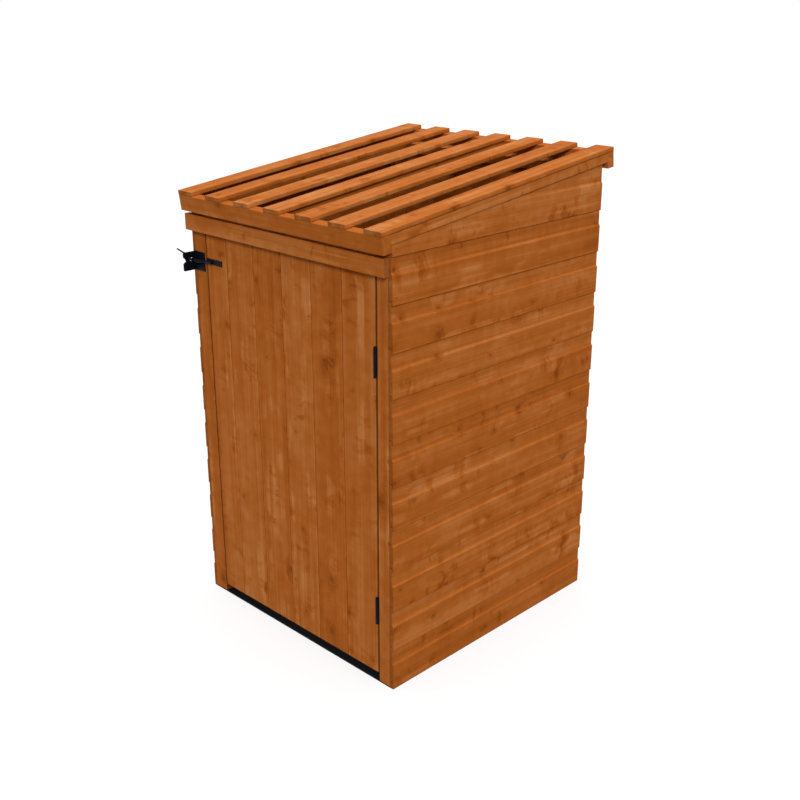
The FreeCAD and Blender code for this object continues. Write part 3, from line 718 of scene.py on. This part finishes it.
def solids_of(node: str) -> list[Triangles]:
    """Sort a CAD node's loose triangles into its separate solids.

    A solid ends where every edge met so far has been walked both ways.

    Args:
        node: Name of the CAD node.

    Returns:
        The corners of each solid's triangles, lowest solid first.
    """
    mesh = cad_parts[node].data
    found, solid = [], []
    open_edges: set[tuple[Any, Any]] = set()
    for polygon in mesh.polygons:
        corners = tuple(mesh.vertices[index].co.copy() for index in polygon.vertices)
        keys = [tuple(round(part * CORNER_GRID) for part in corner) for corner in corners]
        for start, end in zip(keys, keys[1:] + keys[:1]):
            if (end, start) in open_edges:
                open_edges.remove((end, start))
            elif start != end:
                open_edges.add((start, end))
        solid.append(corners)
        if not open_edges:
            found.append(solid)
            solid = []
    if solid:
        found.append(solid)

    def order(triangles: Triangles) -> tuple[float, ...]:
        """Rounded lowest corner of a solid."""
        return tuple(
            round(min(corner[axis] for corners in triangles for corner in corners), ORDER_DIGITS)
            for axis in (2, 0, 1))

    return sorted(found, key=order)


def box_of(places: list[Vector]) -> tuple[Vector, Vector]:
    """Measure the box round some places.

    Args:
        places: The places.

    Returns:
        Its middle and its half size.
    """
    low = Vector(min(place[axis] for place in places) for axis in range(3))
    high = Vector(max(place[axis] for place in places) for axis in range(3))
    return (low + high) / 2, (high - low) / 2


def put_down(name: str, data: bpy.types.ID) -> bpy.types.Object:
    """Put a mesh, lamp or camera in the scene.

    Args:
        name: Name of the object.
        data: What it holds.

    Returns:
        The object.
    """
    thing = bpy.data.objects.new(name, data)
    bpy.context.scene.collection.objects.link(thing)
    return thing


def add_piece(name: str, mesh: bpy.types.Mesh, body: str, slot: Slot, finishes: Finishes,
              *nodes: str) -> None:
    """Put a finished mesh in the scene as a piece.

    Args:
        name: Name of the piece.
        mesh: Its mesh, in place.
        body: Body that it rides on.
        slot: Slot that its finish comes from.
        finishes: The materials.
        nodes: CAD nodes that it stands for.
    """
    piece = put_down(name, mesh)
    mesh.materials.clear()
    mesh.materials.append(finishes.of(slot))
    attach(piece, body)
    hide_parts(*nodes)
    log.info("%s: %d faces on %s", name, len(mesh.polygons), body)


def settle(piece: bpy.types.Object) -> bpy.types.Mesh:
    """Turn an object with its modifiers into a plain mesh and drop the object.

    Args:
        piece: The object.

    Returns:
        The mesh with the modifiers applied.
    """
    graph = bpy.context.evaluated_depsgraph_get()
    mesh = bpy.data.meshes.new_from_object(piece.evaluated_get(graph), depsgraph=graph)
    spent = piece.data
    bpy.data.objects.remove(piece)
    bpy.data.meshes.remove(spent)
    return mesh


def smooth(mesh: bpy.types.Mesh, sharpest: float) -> bpy.types.Mesh:
    """Shade a mesh smoothly up to a turn between two faces.

    Args:
        mesh: The mesh.
        sharpest: Turn from which an edge stays sharp.

    Returns:
        The same mesh.
    """
    mesh.shade_smooth()
    mesh.set_sharp_from_angle(angle=sharpest)
    return mesh


class EasedCopy:
    """Merged copy of a CAD node with its long sharp edges eased, ready for a finish."""

    marks = ("grain", "half", "board")
    easing_steps = 2
    face_weight = 100

    def __init__(self, node: str, easing: float, shortest: float = 0.006,
                 axes: Matrix | None = None, tone: float = 0.5, spread: float = 0.0,
                 dark: Dark = Dark.ENDS) -> None:
        """Copy the node.

        Args:
            node: Name of the CAD node.
            easing: Width that is taken off each edge, in metres.
            shortest: Shortest edge that is eased, in metres.
            axes: Matrix that turns a place into along, across and depth, where grain is wanted.
            tone: How pale the boards are, around 0.5.
            spread: How much that differs from board to board.
            dark: Where gathered stain and painted shade darken it.
        """
        self.node = node
        self.easing = easing
        self.shortest = shortest
        self.axes = axes or Matrix.Identity(3)
        self.dark = dark
        self.shape = bmesh.new()
        layers = self.shape.verts.layers.float_vector
        self.layers = [layers.new(name) for name in self.marks]
        dice = random.Random(node)
        for triangles in solids_of(node):
            shade = tone + spread * (dice.random() - 0.5)
            self._add_solid(triangles, Vector((shade, dice.random(), dice.random())))

    def _add_solid(self, triangles: Triangles, luck: Vector) -> None:
        """Merge one solid's triangles, ease its edges, mark its grain and add it to the copy.

        Args:
            triangles: Corners of its triangles.
            luck: Tone and two random numbers of this solid.
        """
        solid = bmesh.new()
        for corners in triangles:
            solid.faces.new([solid.verts.new(corner) for corner in corners])
        bmesh.ops.remove_doubles(solid, verts=solid.verts, dist=WELD)
        bmesh.ops.dissolve_limit(
            solid, angle_limit=FLAT_TURN, verts=solid.verts, edges=solid.edges)
        sharp = [
            edge for edge in solid.edges
            if len(edge.link_faces) == 2 and edge.is_convex and edge.calc_length() > self.shortest
            and edge.calc_face_angle() > CORNER_TURN
        ]
        if sharp:
            bmesh.ops.bevel(
                solid, geom=sharp, offset=self.easing, offset_type="OFFSET",
                segments=self.easing_steps, profile=0.5, affect="EDGES", clamp_overlap=False)
        turned = {vert: self.axes @ vert.co for vert in solid.verts}
        middle, half = box_of(list(turned.values()))
        half = Vector((
            half.x if Dark.ENDS in self.dark else FAR_OFF,
            half.y if Dark.SIDES in self.dark else FAR_OFF,
            FAR_OFF))
        made = {}
        for vert, place in turned.items():
            made[vert] = self.shape.verts.new(vert.co)
            for layer, value in zip(self.layers, (place - middle, half, luck)):
                made[vert][layer] = value
        for face in solid.faces:
            self.shape.faces.new([made[vert] for vert in face.verts])
        solid.free()

    def mesh(self) -> bpy.types.Mesh:
        """Finish the mesh with flat faces and softly shaded eased edges.

        Returns:
            The mesh.
        """
        raw = bpy.data.meshes.new(self.node)
        self.shape.to_mesh(raw)
        self.shape.free()
        holder = put_down(self.node + "_raw", smooth(raw, SHARP_TURN))
        weigh = holder.modifiers.new("weigh", "WEIGHTED_NORMAL")
        weigh.keep_sharp = True
        weigh.weight = self.face_weight
        return settle(holder)


def dress_timber(node: str, body: str, timber: Timber, easing: float, finishes: Finishes) -> None:
    """Replace a node of timber with its eased and marked copy.

    Args:
        node: Name of the CAD node.
        body: Body that it rides on.
        timber: How it looks.
        easing: Width that is taken off each edge, in metres.
        finishes: The materials.
    """
    copy = EasedCopy(
        node, easing, axes=timber.grain.axes(), tone=timber.tone, spread=timber.spread,
        dark=timber.dark)
    add_piece(node + "_timber", copy.mesh(), body, Slot.WOOD, finishes, node)


class Chance(Enum):
    """Kinds of random value: Blender's name, the first of its two inputs and its output."""

    VECTOR = ("FLOAT_VECTOR", 0, 0)
    NUMBER = ("FLOAT", 2, 1)


class Recipe(Graph):
    """Geometry Nodes tree that works on a mesh of points, with named inputs."""

    def __init__(self, name: str, inputs: dict[str, str]) -> None:
        """Start the tree.

        Args:
            name: Name of the tree.
            inputs: Socket type of each named input. Seed and Finish are added to them.
        """
        super().__init__(bpy.data.node_groups.new(name, "GeometryNodeTree"))
        sockets = self.tree.interface
        for way in ("INPUT", "OUTPUT"):
            sockets.new_socket("Geometry", in_out=way, socket_type="NodeSocketGeometry")
        inputs = {**inputs, "Seed": "NodeSocketInt", "Finish": "NodeSocketMaterial"}
        self.keys = {
            label: sockets.new_socket(label, in_out="INPUT", socket_type=kind).identifier
            for label, kind in inputs.items()
        }
        self.source = self.add("NodeGroupInput", {})
        self.result = self.add("NodeGroupOutput", {})

    def given(self, label: str) -> bpy.types.NodeSocket:
        """Socket that carries a named input."""
        return self.source.outputs[label]

    def number(self, label: str) -> Signal:
        """Named input as a number to calculate with."""
        return Signal(self, self.given(label))

    def random(self, chance: Chance, low: Any, high: Any) -> bpy.types.NodeSocket:
        """Draw a random value for each point or instance.

        Args:
            chance: Kind of value.
            low: Lowest value.
            high: Highest value.

        Returns:
            The value, which follows the Seed input.
        """
        kind, first, result = chance.value
        node = self.add("FunctionNodeRandomValue", {
            first: low, first + 1: high, "Seed": self.given("Seed")}, data_type=kind)
        return node.outputs[result]

    def store(self, geometry: bpy.types.NodeSocket, name: str, value: bpy.types.NodeSocket,
              domain: str = "POINT") -> bpy.types.NodeSocket:
        """Store a vector on the geometry.

        Args:
            geometry: The geometry.
            name: Name of the attribute.
            value: The vector.
            domain: What carries it, by Blender's name.

        Returns:
            The geometry with the attribute.
        """
        return self.out(
            "GeometryNodeStoreNamedAttribute",
            {"Geometry": geometry, "Name": name, "Value": value},
            data_type="FLOAT_VECTOR", domain=domain)

    def set_down(self, shape: bpy.types.NodeSocket,
                 turn: bpy.types.NodeSocket) -> bpy.types.NodeSocket:
        """Set a turned instance of a shape down on each point.

        Args:
            shape: Geometry of the shape.
            turn: Its rotation.

        Returns:
            The instances.
        """
        return self.out("GeometryNodeInstanceOnPoints", {
            "Points": self.given("Geometry"), "Instance": shape, "Rotation": turn})

    def close(self, geometry: bpy.types.NodeSocket) -> None:
        """Realize the instances, give them the Finish input and end the tree.

        Args:
            geometry: The instances.
        """
        real = self.out("GeometryNodeRealizeInstances", {"Geometry": geometry})
        dressed = self.out("GeometryNodeSetMaterial", {
            "Geometry": real, "Material": self.given("Finish")})
        self.feed(self.result.inputs["Geometry"], dressed)

    def run(self, name: str, places: list[Vector], sharpest: float, values: dict[str, Any],
            marks: dict[str, list[Vector]] | None = None) -> bpy.types.Mesh:
        """Run the tree on some points.

        Args:
            name: Name of the mesh.
            places: The points.
            sharpest: Turn between two faces from which an edge stays sharp.
            values: Values of the named inputs.
            marks: Vectors to store on the points, by name.

        Returns:
            The plain mesh that comes out.
        """
        points = bpy.data.meshes.new(name)
        points.from_pydata(places, [], [])
        for mark, vectors in (marks or {}).items():
            layer = points.attributes.new(mark, "FLOAT_VECTOR", "POINT")
            for item, vector in zip(layer.data, vectors):
                item.vector = vector
        holder = bpy.data.objects.new(name + "_points", points)
        modifier = holder.modifiers.new("build", "NODES")
        modifier.node_group = self.tree
        for label, value in values.items():
            modifier[self.keys[label]] = value
        bpy.context.scene.collection.objects.link(holder)
        return smooth(settle(holder), sharpest)


class Turning:
    """Round metal shape built up from rings of points."""

    def __init__(self) -> None:
        """Start with no points."""
        self.shape = bmesh.new()

    def ring(self, count: int, radius: float, height: float) -> Ring:
        """Lay a circle of points.

        Args:
            count: Number of points.
            radius: Radius of the circle.
            height: Height of the circle.

        Returns:
            The points.
        """
        turns = (math.tau * step / count for step in range(count))
        return [
            self.shape.verts.new((radius * math.cos(turn), radius * math.sin(turn), height))
            for turn in turns
        ]

    def wall(self, upper: Ring, lower: Ring) -> None:
        """Join two rings of the same count.

        Args:
            upper: Points of the upper ring.
            lower: Points of the lower ring.
        """
        for step, point in enumerate(upper):
            after = (step + 1) % len(upper)
            self.shape.faces.new((point, upper[after], lower[after], lower[step]))

    def mesh(self, name: str) -> bpy.types.Mesh:
        """Weld the shape and turn its faces outwards.

        Args:
            name: Name of the mesh.

        Returns:
            The mesh.
        """
        bmesh.ops.remove_doubles(self.shape, verts=self.shape.verts, dist=WELD / 10)
        bmesh.ops.recalc_face_normals(self.shape, faces=self.shape.faces)
        mesh = bpy.data.meshes.new(name)
        self.shape.to_mesh(mesh)
        self.shape.free()
        return mesh


@dataclass(frozen=True)
class Fastener:
    """Radii of head and shank, depth of the head and length of a fastener, in metres."""

    head: float
    shank: float
    depth: float
    length: float


@dataclass(frozen=True)
class Screw(Fastener):
    """Countersunk screw with a cross recess.

    An arm's reach and half its width are shares of the head's radius. The recess narrows to its
    taper on the way down, to a share of the head's depth.
    """

    arm: float = 0.62
    half_slot: float = 0.16
    taper: float = 0.55
    recess: float = 0.8
    points: int = 12

    def build(self) -> bpy.types.Mesh:
        """Build the screw, standing on its tip with its head's face at the origin.

        Returns:
            The mesh.
        """
        turning = Turning()
        arm, slot = self.head * self.arm, self.head * self.half_slot
        outline = [
            Matrix.Rotation(quarter * math.pi / 2, 3, "Z") @ Vector((*corner, 0.0))
            for quarter in range(4) for corner in ((slot, -slot), (arm, -slot), (arm, slot))
        ]
        sunk = Vector((0.0, 0.0, self.depth * self.recess))
        rim = turning.ring(self.points, self.head, 0.0)
        recess = [turning.shape.verts.new(place) for place in outline]
        floor = [turning.shape.verts.new(place * self.taper - sunk) for place in outline]
        start = min(range(self.points), key=lambda step: (rim[step].co - recess[1].co).length)
        rim = rim[start - 1:] + rim[:start - 1]
        turning.wall(recess, rim)
        turning.wall(floor, recess)
        turning.shape.faces.new(floor)
        neck = turning.ring(self.points, self.shank, -self.depth)
        tip = turning.ring(self.points, self.shank, -self.length)
        turning.wall(turning.ring(self.points, self.head, 0.0), neck)
        turning.wall(neck, tip)
        turning.shape.faces.new(tip)
        return turning.mesh("countersunk_screw")


@dataclass(frozen=True)
class Nail(Fastener):
    """Lost-head nail with a dimple.

    The dimple and the crown round it are shares of the head's radius, and the neck is a share of
    its depth. The depths of dimple, crown and rim are in metres.
    """

    dimple: float = 0.45
    crown: float = 0.75
    neck: float = 1.2
    dimple_depth: float = 0.00025
    crown_depth: float = 0.00003
    rim_depth: float = 0.0002
    points: int = 10

    def build(self) -> bpy.types.Mesh:
        """Build the nail, standing on its tip with its head's face at the origin.

        Returns:
            The mesh.
        """
        turning = Turning()
        rings = [
            turning.ring(self.points, radius, -depth) for radius, depth in (
                (self.head * self.dimple, self.dimple_depth),
                (self.head * self.crown, self.crown_depth), (self.head, self.rim_depth),
                (self.head, self.depth), (self.shank, self.depth * self.neck),
                (self.shank, self.length))
        ]
        for upper, lower in zip(rings, rings[1:]):
            turning.wall(upper, lower)
        turning.shape.faces.new(rings[0])
        turning.shape.faces.new(rings[-1])
        return turning.mesh("lost_head_nail")


class FastenerRow(NamedTuple):
    """A node's fasteners: the body that they ride on, their shape and the slot of their finish."""

    body: str
    kind: Fastener
    slot: Slot


class Fastening:
    """Sets a screw or nail down at every place where the frame has one."""

    def __init__(self, finishes: Finishes) -> None:
        """Build the tree that stands the fasteners on their places and turns each at random.

        Args:
            finishes: The materials.
        """
        self.finishes = finishes
        self.shapes: dict[Fastener, bpy.types.Object] = {}
        self.recipe = recipe = Recipe("fastener_row", {"Shape": "NodeSocketObject"})
        outward = recipe.out(
            "GeometryNodeInputNamedAttribute", {"Name": "outward"}, data_type="FLOAT_VECTOR")
        stand = recipe.out("FunctionNodeAlignRotationToVector", {"Vector": outward}, axis="Z")
        spin = recipe.random(Chance.NUMBER, -math.pi, math.pi)
        twist = recipe.out("FunctionNodeAxisAngleToRotation", {"Axis": UP, "Angle": spin})
        turned = recipe.out(
            "FunctionNodeRotateRotation", {"Rotation": stand, "Rotate By": twist},
            rotation_space="LOCAL")
        shape = recipe.add("GeometryNodeObjectInfo", {"Object": recipe.given("Shape")})
        recipe.close(recipe.set_down(shape.outputs["Geometry"], turned))

    def lay(self, node: str, row: FastenerRow) -> None:
        """Set a node's fasteners down as one piece.

        Args:
            node: CAD node that holds the fasteners.
            row: What they are.
        """
        if row.kind not in self.shapes:
            mesh = row.kind.build()
            self.shapes[row.kind] = put_down(mesh.name, mesh)
        places, ways = [], []
        for triangles in solids_of(node):
            corners = [corner for triangle in triangles for corner in triangle]
            middle, _ = box_of(corners)
            way = self._head_way(corners, middle)
            reach = max((corner - middle).dot(way) for corner in corners)
            places.append(middle + way * reach)
            ways.append(way)
        values = {
            "Shape": self.shapes[row.kind], "Seed": len(places),
            "Finish": self.finishes.of(row.slot)}
        mesh = self.recipe.run(node, places, CORNER_TURN, values, {"outward": ways})
        add_piece(node + "_row", mesh, row.body, row.slot, self.finishes, node)

    def clear(self) -> None:
        """Take the loose fasteners that the tree copied out of the scene."""
        for shape in self.shapes.values():
            bpy.data.objects.remove(shape)

    @staticmethod
    def _head_way(corners: list[Vector], middle: Vector) -> Vector:
        """Find the way from a fastener's tip to its wider head.

        Args:
            corners: Corners of the fastener's triangles.
            middle: Middle of the box round it.

        Returns:
            Unit vector towards the head.
        """
        farthest = max((corner - middle).length for corner in corners)
        ends = [corner for corner in corners if (corner - middle).length > farthest - WELD]
        head = sum(ends, Vector()) / len(ends)
        return (head - middle).normalized()


@dataclass
class Timberwork:
    """Walls, frame, header and door: sawn timbers that keep the frame's shape."""

    finishes: Finishes
    board_easing: float = 0.0007
    timber_easing: float = 0.0012
    door_easing: float = 0.0006
    door_boards: int = 6
    # Dark.BOTH here and below: the ends get gathered stain, and the narrow sides and long edges get
    # painted shade where they face the gaps and laps
    door: Timber = Timber(Grain.UPRIGHT, 0.54, 0.16, Dark.BOTH)
    walls: dict[str, Timber] = field(default_factory=lambda: {
        "right_wall_boards": Timber(Grain.BACKWARD, 0.5, 0.14, Dark.BOTH),
        "left_wall_boards": Timber(Grain.BACKWARD, 0.5, 0.14, Dark.BOTH),
        "back_wall_boards": Timber(Grain.CROSSWISE, 0.5, 0.14, Dark.BOTH),
    })
    timbers: dict[str, Timber] = field(default_factory=lambda: {
        # Painted shade: the latch post's lower tone stands in for the shadow that falls on it
        "latch_post": Timber(Grain.UPRIGHT, 0.46, dark=Dark.BOTH),
        "hinge_post": Timber(Grain.UPRIGHT, 0.54, dark=Dark.BOTH),
        "left_back_post": Timber(Grain.UPRIGHT),
        "right_back_post": Timber(Grain.UPRIGHT),
        "left_bottom_rail": Timber(Grain.BACKWARD),
        "right_bottom_rail": Timber(Grain.BACKWARD),
        "left_top_rail": Timber(Grain.UP_ROOF),
        "right_top_rail": Timber(Grain.UP_ROOF),
        "back_top_rail": Timber(Grain.CROSSWISE),
        "back_bottom_rail": Timber(Grain.CROSSWISE),
        "header_board": Timber(Grain.CROSSWISE, 0.66),
    })
    ledges: tuple[str, ...] = ("door_bottom_ledge", "door_top_ledge")

    def build(self) -> None:
        """Dress the walls, the frame and the door."""
        for node, timber in self.walls.items():
            dress_timber(node, "store", timber, self.board_easing, self.finishes)
        for node, timber in self.timbers.items():
            dress_timber(node, "store", timber, self.timber_easing, self.finishes)
        for number in range(self.door_boards):
            dress_timber(
                f"door_board_{number + 1}", "door", self.door, self.door_easing, self.finishes)
        for node in self.ledges:
            dress_timber(
                node, "door", Timber(Grain.CROSSWISE), self.timber_easing, self.finishes)
        brace = EasedCopy("door_brace", self.timber_easing, axes=self._brace_axes())
        add_piece(
            "door_brace_timber", brace.mesh(), "door", Slot.WOOD, self.finishes, "door_brace")

    @staticmethod
    def _brace_axes() -> Matrix:
        """Find the axes of the brace, which runs up from the hinge side to the latch side.

        Returns:
            Matrix that turns a place into along, across and depth.
        """
        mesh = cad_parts["door_brace"].data
        edges = [
            mesh.vertices[edge.vertices[1]].co - mesh.vertices[edge.vertices[0]].co
            for edge in mesh.edges
        ]
        along = max(
            (edge for edge in edges if abs(edge.y) < WELD and edge.x * edge.z < 0),
            key=lambda edge: edge.length).normalized()
        across = along.cross(Vector(BACK)).normalized()
        return Matrix((along, across, along.cross(across)))


@dataclass
class Lid:
    """Sloping lid: five rails from the frame, and slats laid on them by a rule.

    Each slat's tone and two random numbers lie between those of the darkest and the palest slat.
    """

    finishes: Finishes
    easing: float = 0.0012
    corner_steps: int = 3
    # Margin on a slat's half length: its sawn ends get a weaker share of the darkening, there
    # end-grain stain and painted shade
    end_margin: float = 0.0007
    slats: int = 7
    seed: int = 4
    darkest_slat: Triple = (0.50, 0.0, 0.0)
    palest_slat: Triple = (0.66, 1.0, 1.0)
    # Dark.SIDES paints shade on the side rails along the slats' lower edges
    rails: dict[str, Timber] = field(default_factory=lambda: {
        "lid_front_rail": Timber(Grain.ALONG_EAVES, 0.50, dark=Dark.NOWHERE),
        "lid_back_rail": Timber(Grain.ALONG_EAVES, 0.48, dark=Dark.NOWHERE),
        "lid_left_rail": Timber(Grain.UP_ROOF_ON_EDGE, 0.5, dark=Dark.SIDES),
        "lid_middle_rail": Timber(Grain.UP_ROOF_ON_EDGE, 0.5, dark=Dark.SIDES),
        "lid_right_rail": Timber(Grain.UP_ROOF_ON_EDGE, 0.62, dark=Dark.SIDES),
    })

    def build(self) -> None:
        """Dress the rails and lay the slats."""
        for node, rail in self.rails.items():
            dress_timber(node, "lid", rail, self.easing, self.finishes)
        self._lay_slats()

    def _lay_slats(self) -> None:
        """Lay one eased slat on each place that the frame gives, as one piece."""
        turn = Grain.UP_ROOF.axes()
        names = [f"lid_slat_{number + 1}" for number in range(self.slats)]
        boxes = [
            box_of([turn @ vert.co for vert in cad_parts[name].data.vertices])
            for name in names
        ]
        _, half = boxes[0]
        values = {
            "Length": half.x * 2, "Width": half.y * 2, "Thickness": half.z * 2,
            "Easing": self.easing, "End Margin": self.end_margin, "Pitch": ROOF_PITCH,
            "Seed": self.seed, "Finish": self.finishes.of(Slot.WOOD)}
        places = [turn.transposed() @ middle for middle, _ in boxes]
        mesh = self._recipe().run("slat_places", places, SHARP_TURN, values)
        add_piece("lid_slats", mesh, "lid", Slot.WOOD, self.finishes, *names)

    def _recipe(self) -> Recipe:
        """Build the tree that lays the slats.

        Returns:
            The tree, with the slat's sizes as named inputs.
        """
        recipe = Recipe("slat_row", dict.fromkeys(
            ("Length", "Width", "Thickness", "Easing", "End Margin", "Pitch"),
            "NodeSocketFloat"))
        half_length = recipe.number("Length") * 0.5
        half_depth = recipe.number("Thickness") * 0.5
        run = recipe.out("GeometryNodeCurvePrimitiveLine", {
            "Start": recipe.join(0.0, half_length * -1.0, 0.0),
            "End": recipe.join(0.0, half_length, 0.0)}, mode="POINTS")
        outline = recipe.out("GeometryNodeCurvePrimitiveQuadrilateral", {
            "Width": recipe.given("Width"), "Height": recipe.given("Thickness")},
            mode="RECTANGLE")
        eased = recipe.out("GeometryNodeFilletCurve", {
            "Curve": outline, "Count": self.corner_steps, "Radius": recipe.given("Easing"),
            "Limit Radius": True}, mode="POLY")
        slat = recipe.out("GeometryNodeCurveToMesh", {
            "Curve": run, "Profile Curve": eased, "Fill Caps": True})
        across, along, through = recipe.split(recipe.out("GeometryNodeInputPosition", {}))
        marked = recipe.store(slat, "grain", recipe.join(along, across, through))
        # Half sizes for the darkening: the sawn ends, and the lower edge, where shade under the slat
        # is painted
        half = recipe.join(half_length + recipe.number("End Margin"), FAR_OFF, half_depth)
        tilt = recipe.join(recipe.number("Pitch"), 0.0, 0.0)
        placed = recipe.set_down(recipe.store(marked, "half", half), tilt)
        luck = recipe.random(Chance.VECTOR, self.darkest_slat, self.palest_slat)
        recipe.close(recipe.store(placed, "board", luck, "INSTANCE"))
        return recipe


@dataclass
class Ironmongery:
    """Hinges, latch, sheet and fasteners."""

    finishes: Finishes
    easing: float = 0.0004
    shortest_eased: float = 0.0025
    hinge_screw: Screw = Screw(0.0032, 0.0016, 0.0017, 0.012)
    long_screw: Screw = Screw(0.0032, 0.0016, 0.0017, 0.020)
    nail: Nail = Nail(0.0018, 0.0012, 0.0012, 0.012)
    steel: dict[str, str] = field(default_factory=lambda: {
        "latch_bracket": "store",
        "latch_catch": "catch",
        "striker_bar": "door",
        "door_hinge_lower_post_leaf": "store",
        "door_hinge_upper_post_leaf": "store",
        "door_hinge_lower_door_leaf": "door",
        "door_hinge_upper_door_leaf": "door",
        "lid_hinge_left_wall_leaf": "store",
        "lid_hinge_right_wall_leaf": "store",
        "lid_hinge_left_lid_leaf": "lid",
        "lid_hinge_right_lid_leaf": "lid",
    })
    kept: dict[str, Slot] = field(default_factory=lambda: {
        "door_hinge_pins": Slot.STEEL,
        "lid_hinge_pins": Slot.STEEL,
        "latch_pivot_pin": Slot.STEEL,
        # The black sheet is painted shade, put where the ground under the door lies in shadow
        "base_sheet": Slot.SHEET,
    })

    def build(self) -> None:
        """Dress every metal part and the sheet."""
        for node, body in self.steel.items():
            copy = EasedCopy(node, self.easing, self.shortest_eased)
            add_piece(node + "_steel", copy.mesh(), body, Slot.STEEL, self.finishes, node)
        for node, slot in self.kept.items():
            self._coat(node, slot)
        self._fasten()

    def _coat(self, node: str, slot: Slot) -> None:
        """Give a CAD node that keeps its shape its material.

        Args:
            node: Name of the CAD node.
            slot: Slot that its finish comes from.
        """
        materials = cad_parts[node].data.materials
        materials.clear()
        materials.append(self.finishes.of(slot))
        log.info("%s: coated", node)

    def _fasten(self) -> None:
        """Set down all screws and nails."""
        rows = {
            "bracket_screws": FastenerRow("store", self.hinge_screw, Slot.STEEL),
            "post_leaf_screws": FastenerRow("store", self.hinge_screw, Slot.STEEL),
            "wall_leaf_screws": FastenerRow("store", self.hinge_screw, Slot.STEEL),
            "door_leaf_screws": FastenerRow("door", self.hinge_screw, Slot.STEEL),
            "striker_screws": FastenerRow("door", self.hinge_screw, Slot.STEEL),
            "lid_leaf_screws": FastenerRow("lid", self.hinge_screw, Slot.STEEL),
            "header_screws": FastenerRow("store", self.long_screw, Slot.ZINC),
            "door_screws": FastenerRow("door", self.long_screw, Slot.ZINC),
            "wall_nails": FastenerRow("store", self.nail, Slot.ZINC),
            "slat_nails": FastenerRow("lid", self.nail, Slot.ZINC),
        }
        fastening = Fastening(self.finishes)
        for node, row in rows.items():
            fastening.lay(node, row)
        fastening.clear()


class Lamp(NamedTuple):
    """Soft lamp: watts to the square metre, then its azimuth, height and spread in degrees."""

    name: str
    strength: float
    azimuth: float
    height: float
    spread: float


@dataclass
class Studio:
    """Pale floor, soft light and the camera: degrees and metres, the lens in millimetres."""

    focal_length: float = 49.80
    sensor: float = 36.0
    azimuth: float = 44.8445
    elevation: float = 20.4778
    stand: Triple = (2.1159, -2.1140, 1.7142)
    sky: float = 0.25
    floor_size: float = 60.0
    floor_grey: float = 0.25
    floor_glow: float = 0.7
    lamp_rise: float = 4.0
    lamps: tuple[Lamp, ...] = (
        Lamp("front", 2.04, 49.0, 28.0, 16.0),
        Lamp("overhead", 2.16, 0.0, 90.0, 40.0),
    )

    def build(self) -> None:
        """Set the stage."""
        self._camera()
        self._world()
        self._floor()
        for lamp in self.lamps:
            self._hang(lamp)

    def _aim(self, name: str, data: Any, azimuth: float, elevation: float,
             place: Triple) -> bpy.types.Object:
        """Put a camera or lamp in the scene, looking at the store.

        Args:
            name: Name of the object.
            data: The camera or lamp.
            azimuth: Angle from the store's front to the right in degrees.
            elevation: Angle above the horizon in degrees.
            place: Where it stands.

        Returns:
            The object.
        """
        turn, tilt = math.radians(azimuth), math.radians(elevation)
        away = Vector((
            math.sin(turn) * math.cos(tilt), -math.cos(turn) * math.cos(tilt), math.sin(tilt)))
        thing = put_down(name, data)
        thing.location = place
        thing.rotation_mode = "QUATERNION"
        thing.rotation_quaternion = away.to_track_quat("Z", "Y")
        return thing

    def _camera(self) -> None:
        """Put the camera where the photograph was taken from."""
        data = bpy.data.cameras.new("camera")
        data.lens = self.focal_length
        data.sensor_width = self.sensor
        bpy.context.scene.camera = self._aim(
            "camera", data, self.azimuth, self.elevation, self.stand)

    def _world(self) -> None:
        """White to the camera and in reflections, a plain dim sky to everything else."""
        world = bpy.data.worlds.new("sky")
        world.use_nodes = True
        bpy.context.scene.world = world
        graph = Graph(world.node_tree)
        background = graph.tree.nodes["Background"]
        graph.feed(background.inputs["Color"], WHITE)
        graph.feed(
            background.inputs["Strength"], graph.directly_seen() * (1 - self.sky) + self.sky)

    def _floor(self) -> None:
        """Lay a pale floor that shows white and keeps the store's shadow."""
        half = self.floor_size / 2
        mesh = bpy.data.meshes.new("floor")
        mesh.from_pydata(
            [(-half, -half, 0), (half, -half, 0), (half, half, 0), (-half, half, 0)], [],
            [(0, 1, 2, 3)])
        paint = Paint("pale_floor")
        seen = paint.directly_seen()
        grey = (self.floor_grey,) * 3
        paint.feed(paint.shader.inputs["Base Color"], paint.mix(seen, grey, WHITE))
        paint.settle_shader(Roughness=1.0, Specular_IOR_Level=0.0)
        glow = paint.out("ShaderNodeEmission", {"Color": WHITE, "Strength": 1.0})
        surface = paint.out("ShaderNodeMixShader", {
            0: seen * self.floor_glow, 1: paint.shader.outputs[0], 2: glow})
        paint.feed(paint.tree.nodes["Material Output"].inputs["Surface"], surface)
        mesh.materials.append(paint.material)
        floor = put_down("floor", mesh)

    def _hang(self, lamp: Lamp) -> None:
        """Hang a soft lamp.

        Args:
            lamp: What it is like.
        """
        data = bpy.data.lights.new(lamp.name, "SUN")
        data.angle = math.radians(lamp.spread)
        data.energy = lamp.strength
        self._aim(lamp.name, data, lamp.azimuth, lamp.height, (0.0, 0.0, self.lamp_rise))


def main() -> None:
    """Build the sub-assemblies in order."""
    logging.basicConfig(level=logging.INFO, format="%(message)s")
    finishes = Finishes()
    for part in (Timberwork(finishes), Lid(finishes), Ironmongery(finishes), Studio()):
        part.build()
    bpy.context.scene.view_settings.view_transform = "Standard"


if __name__ == "__main__":
    main()
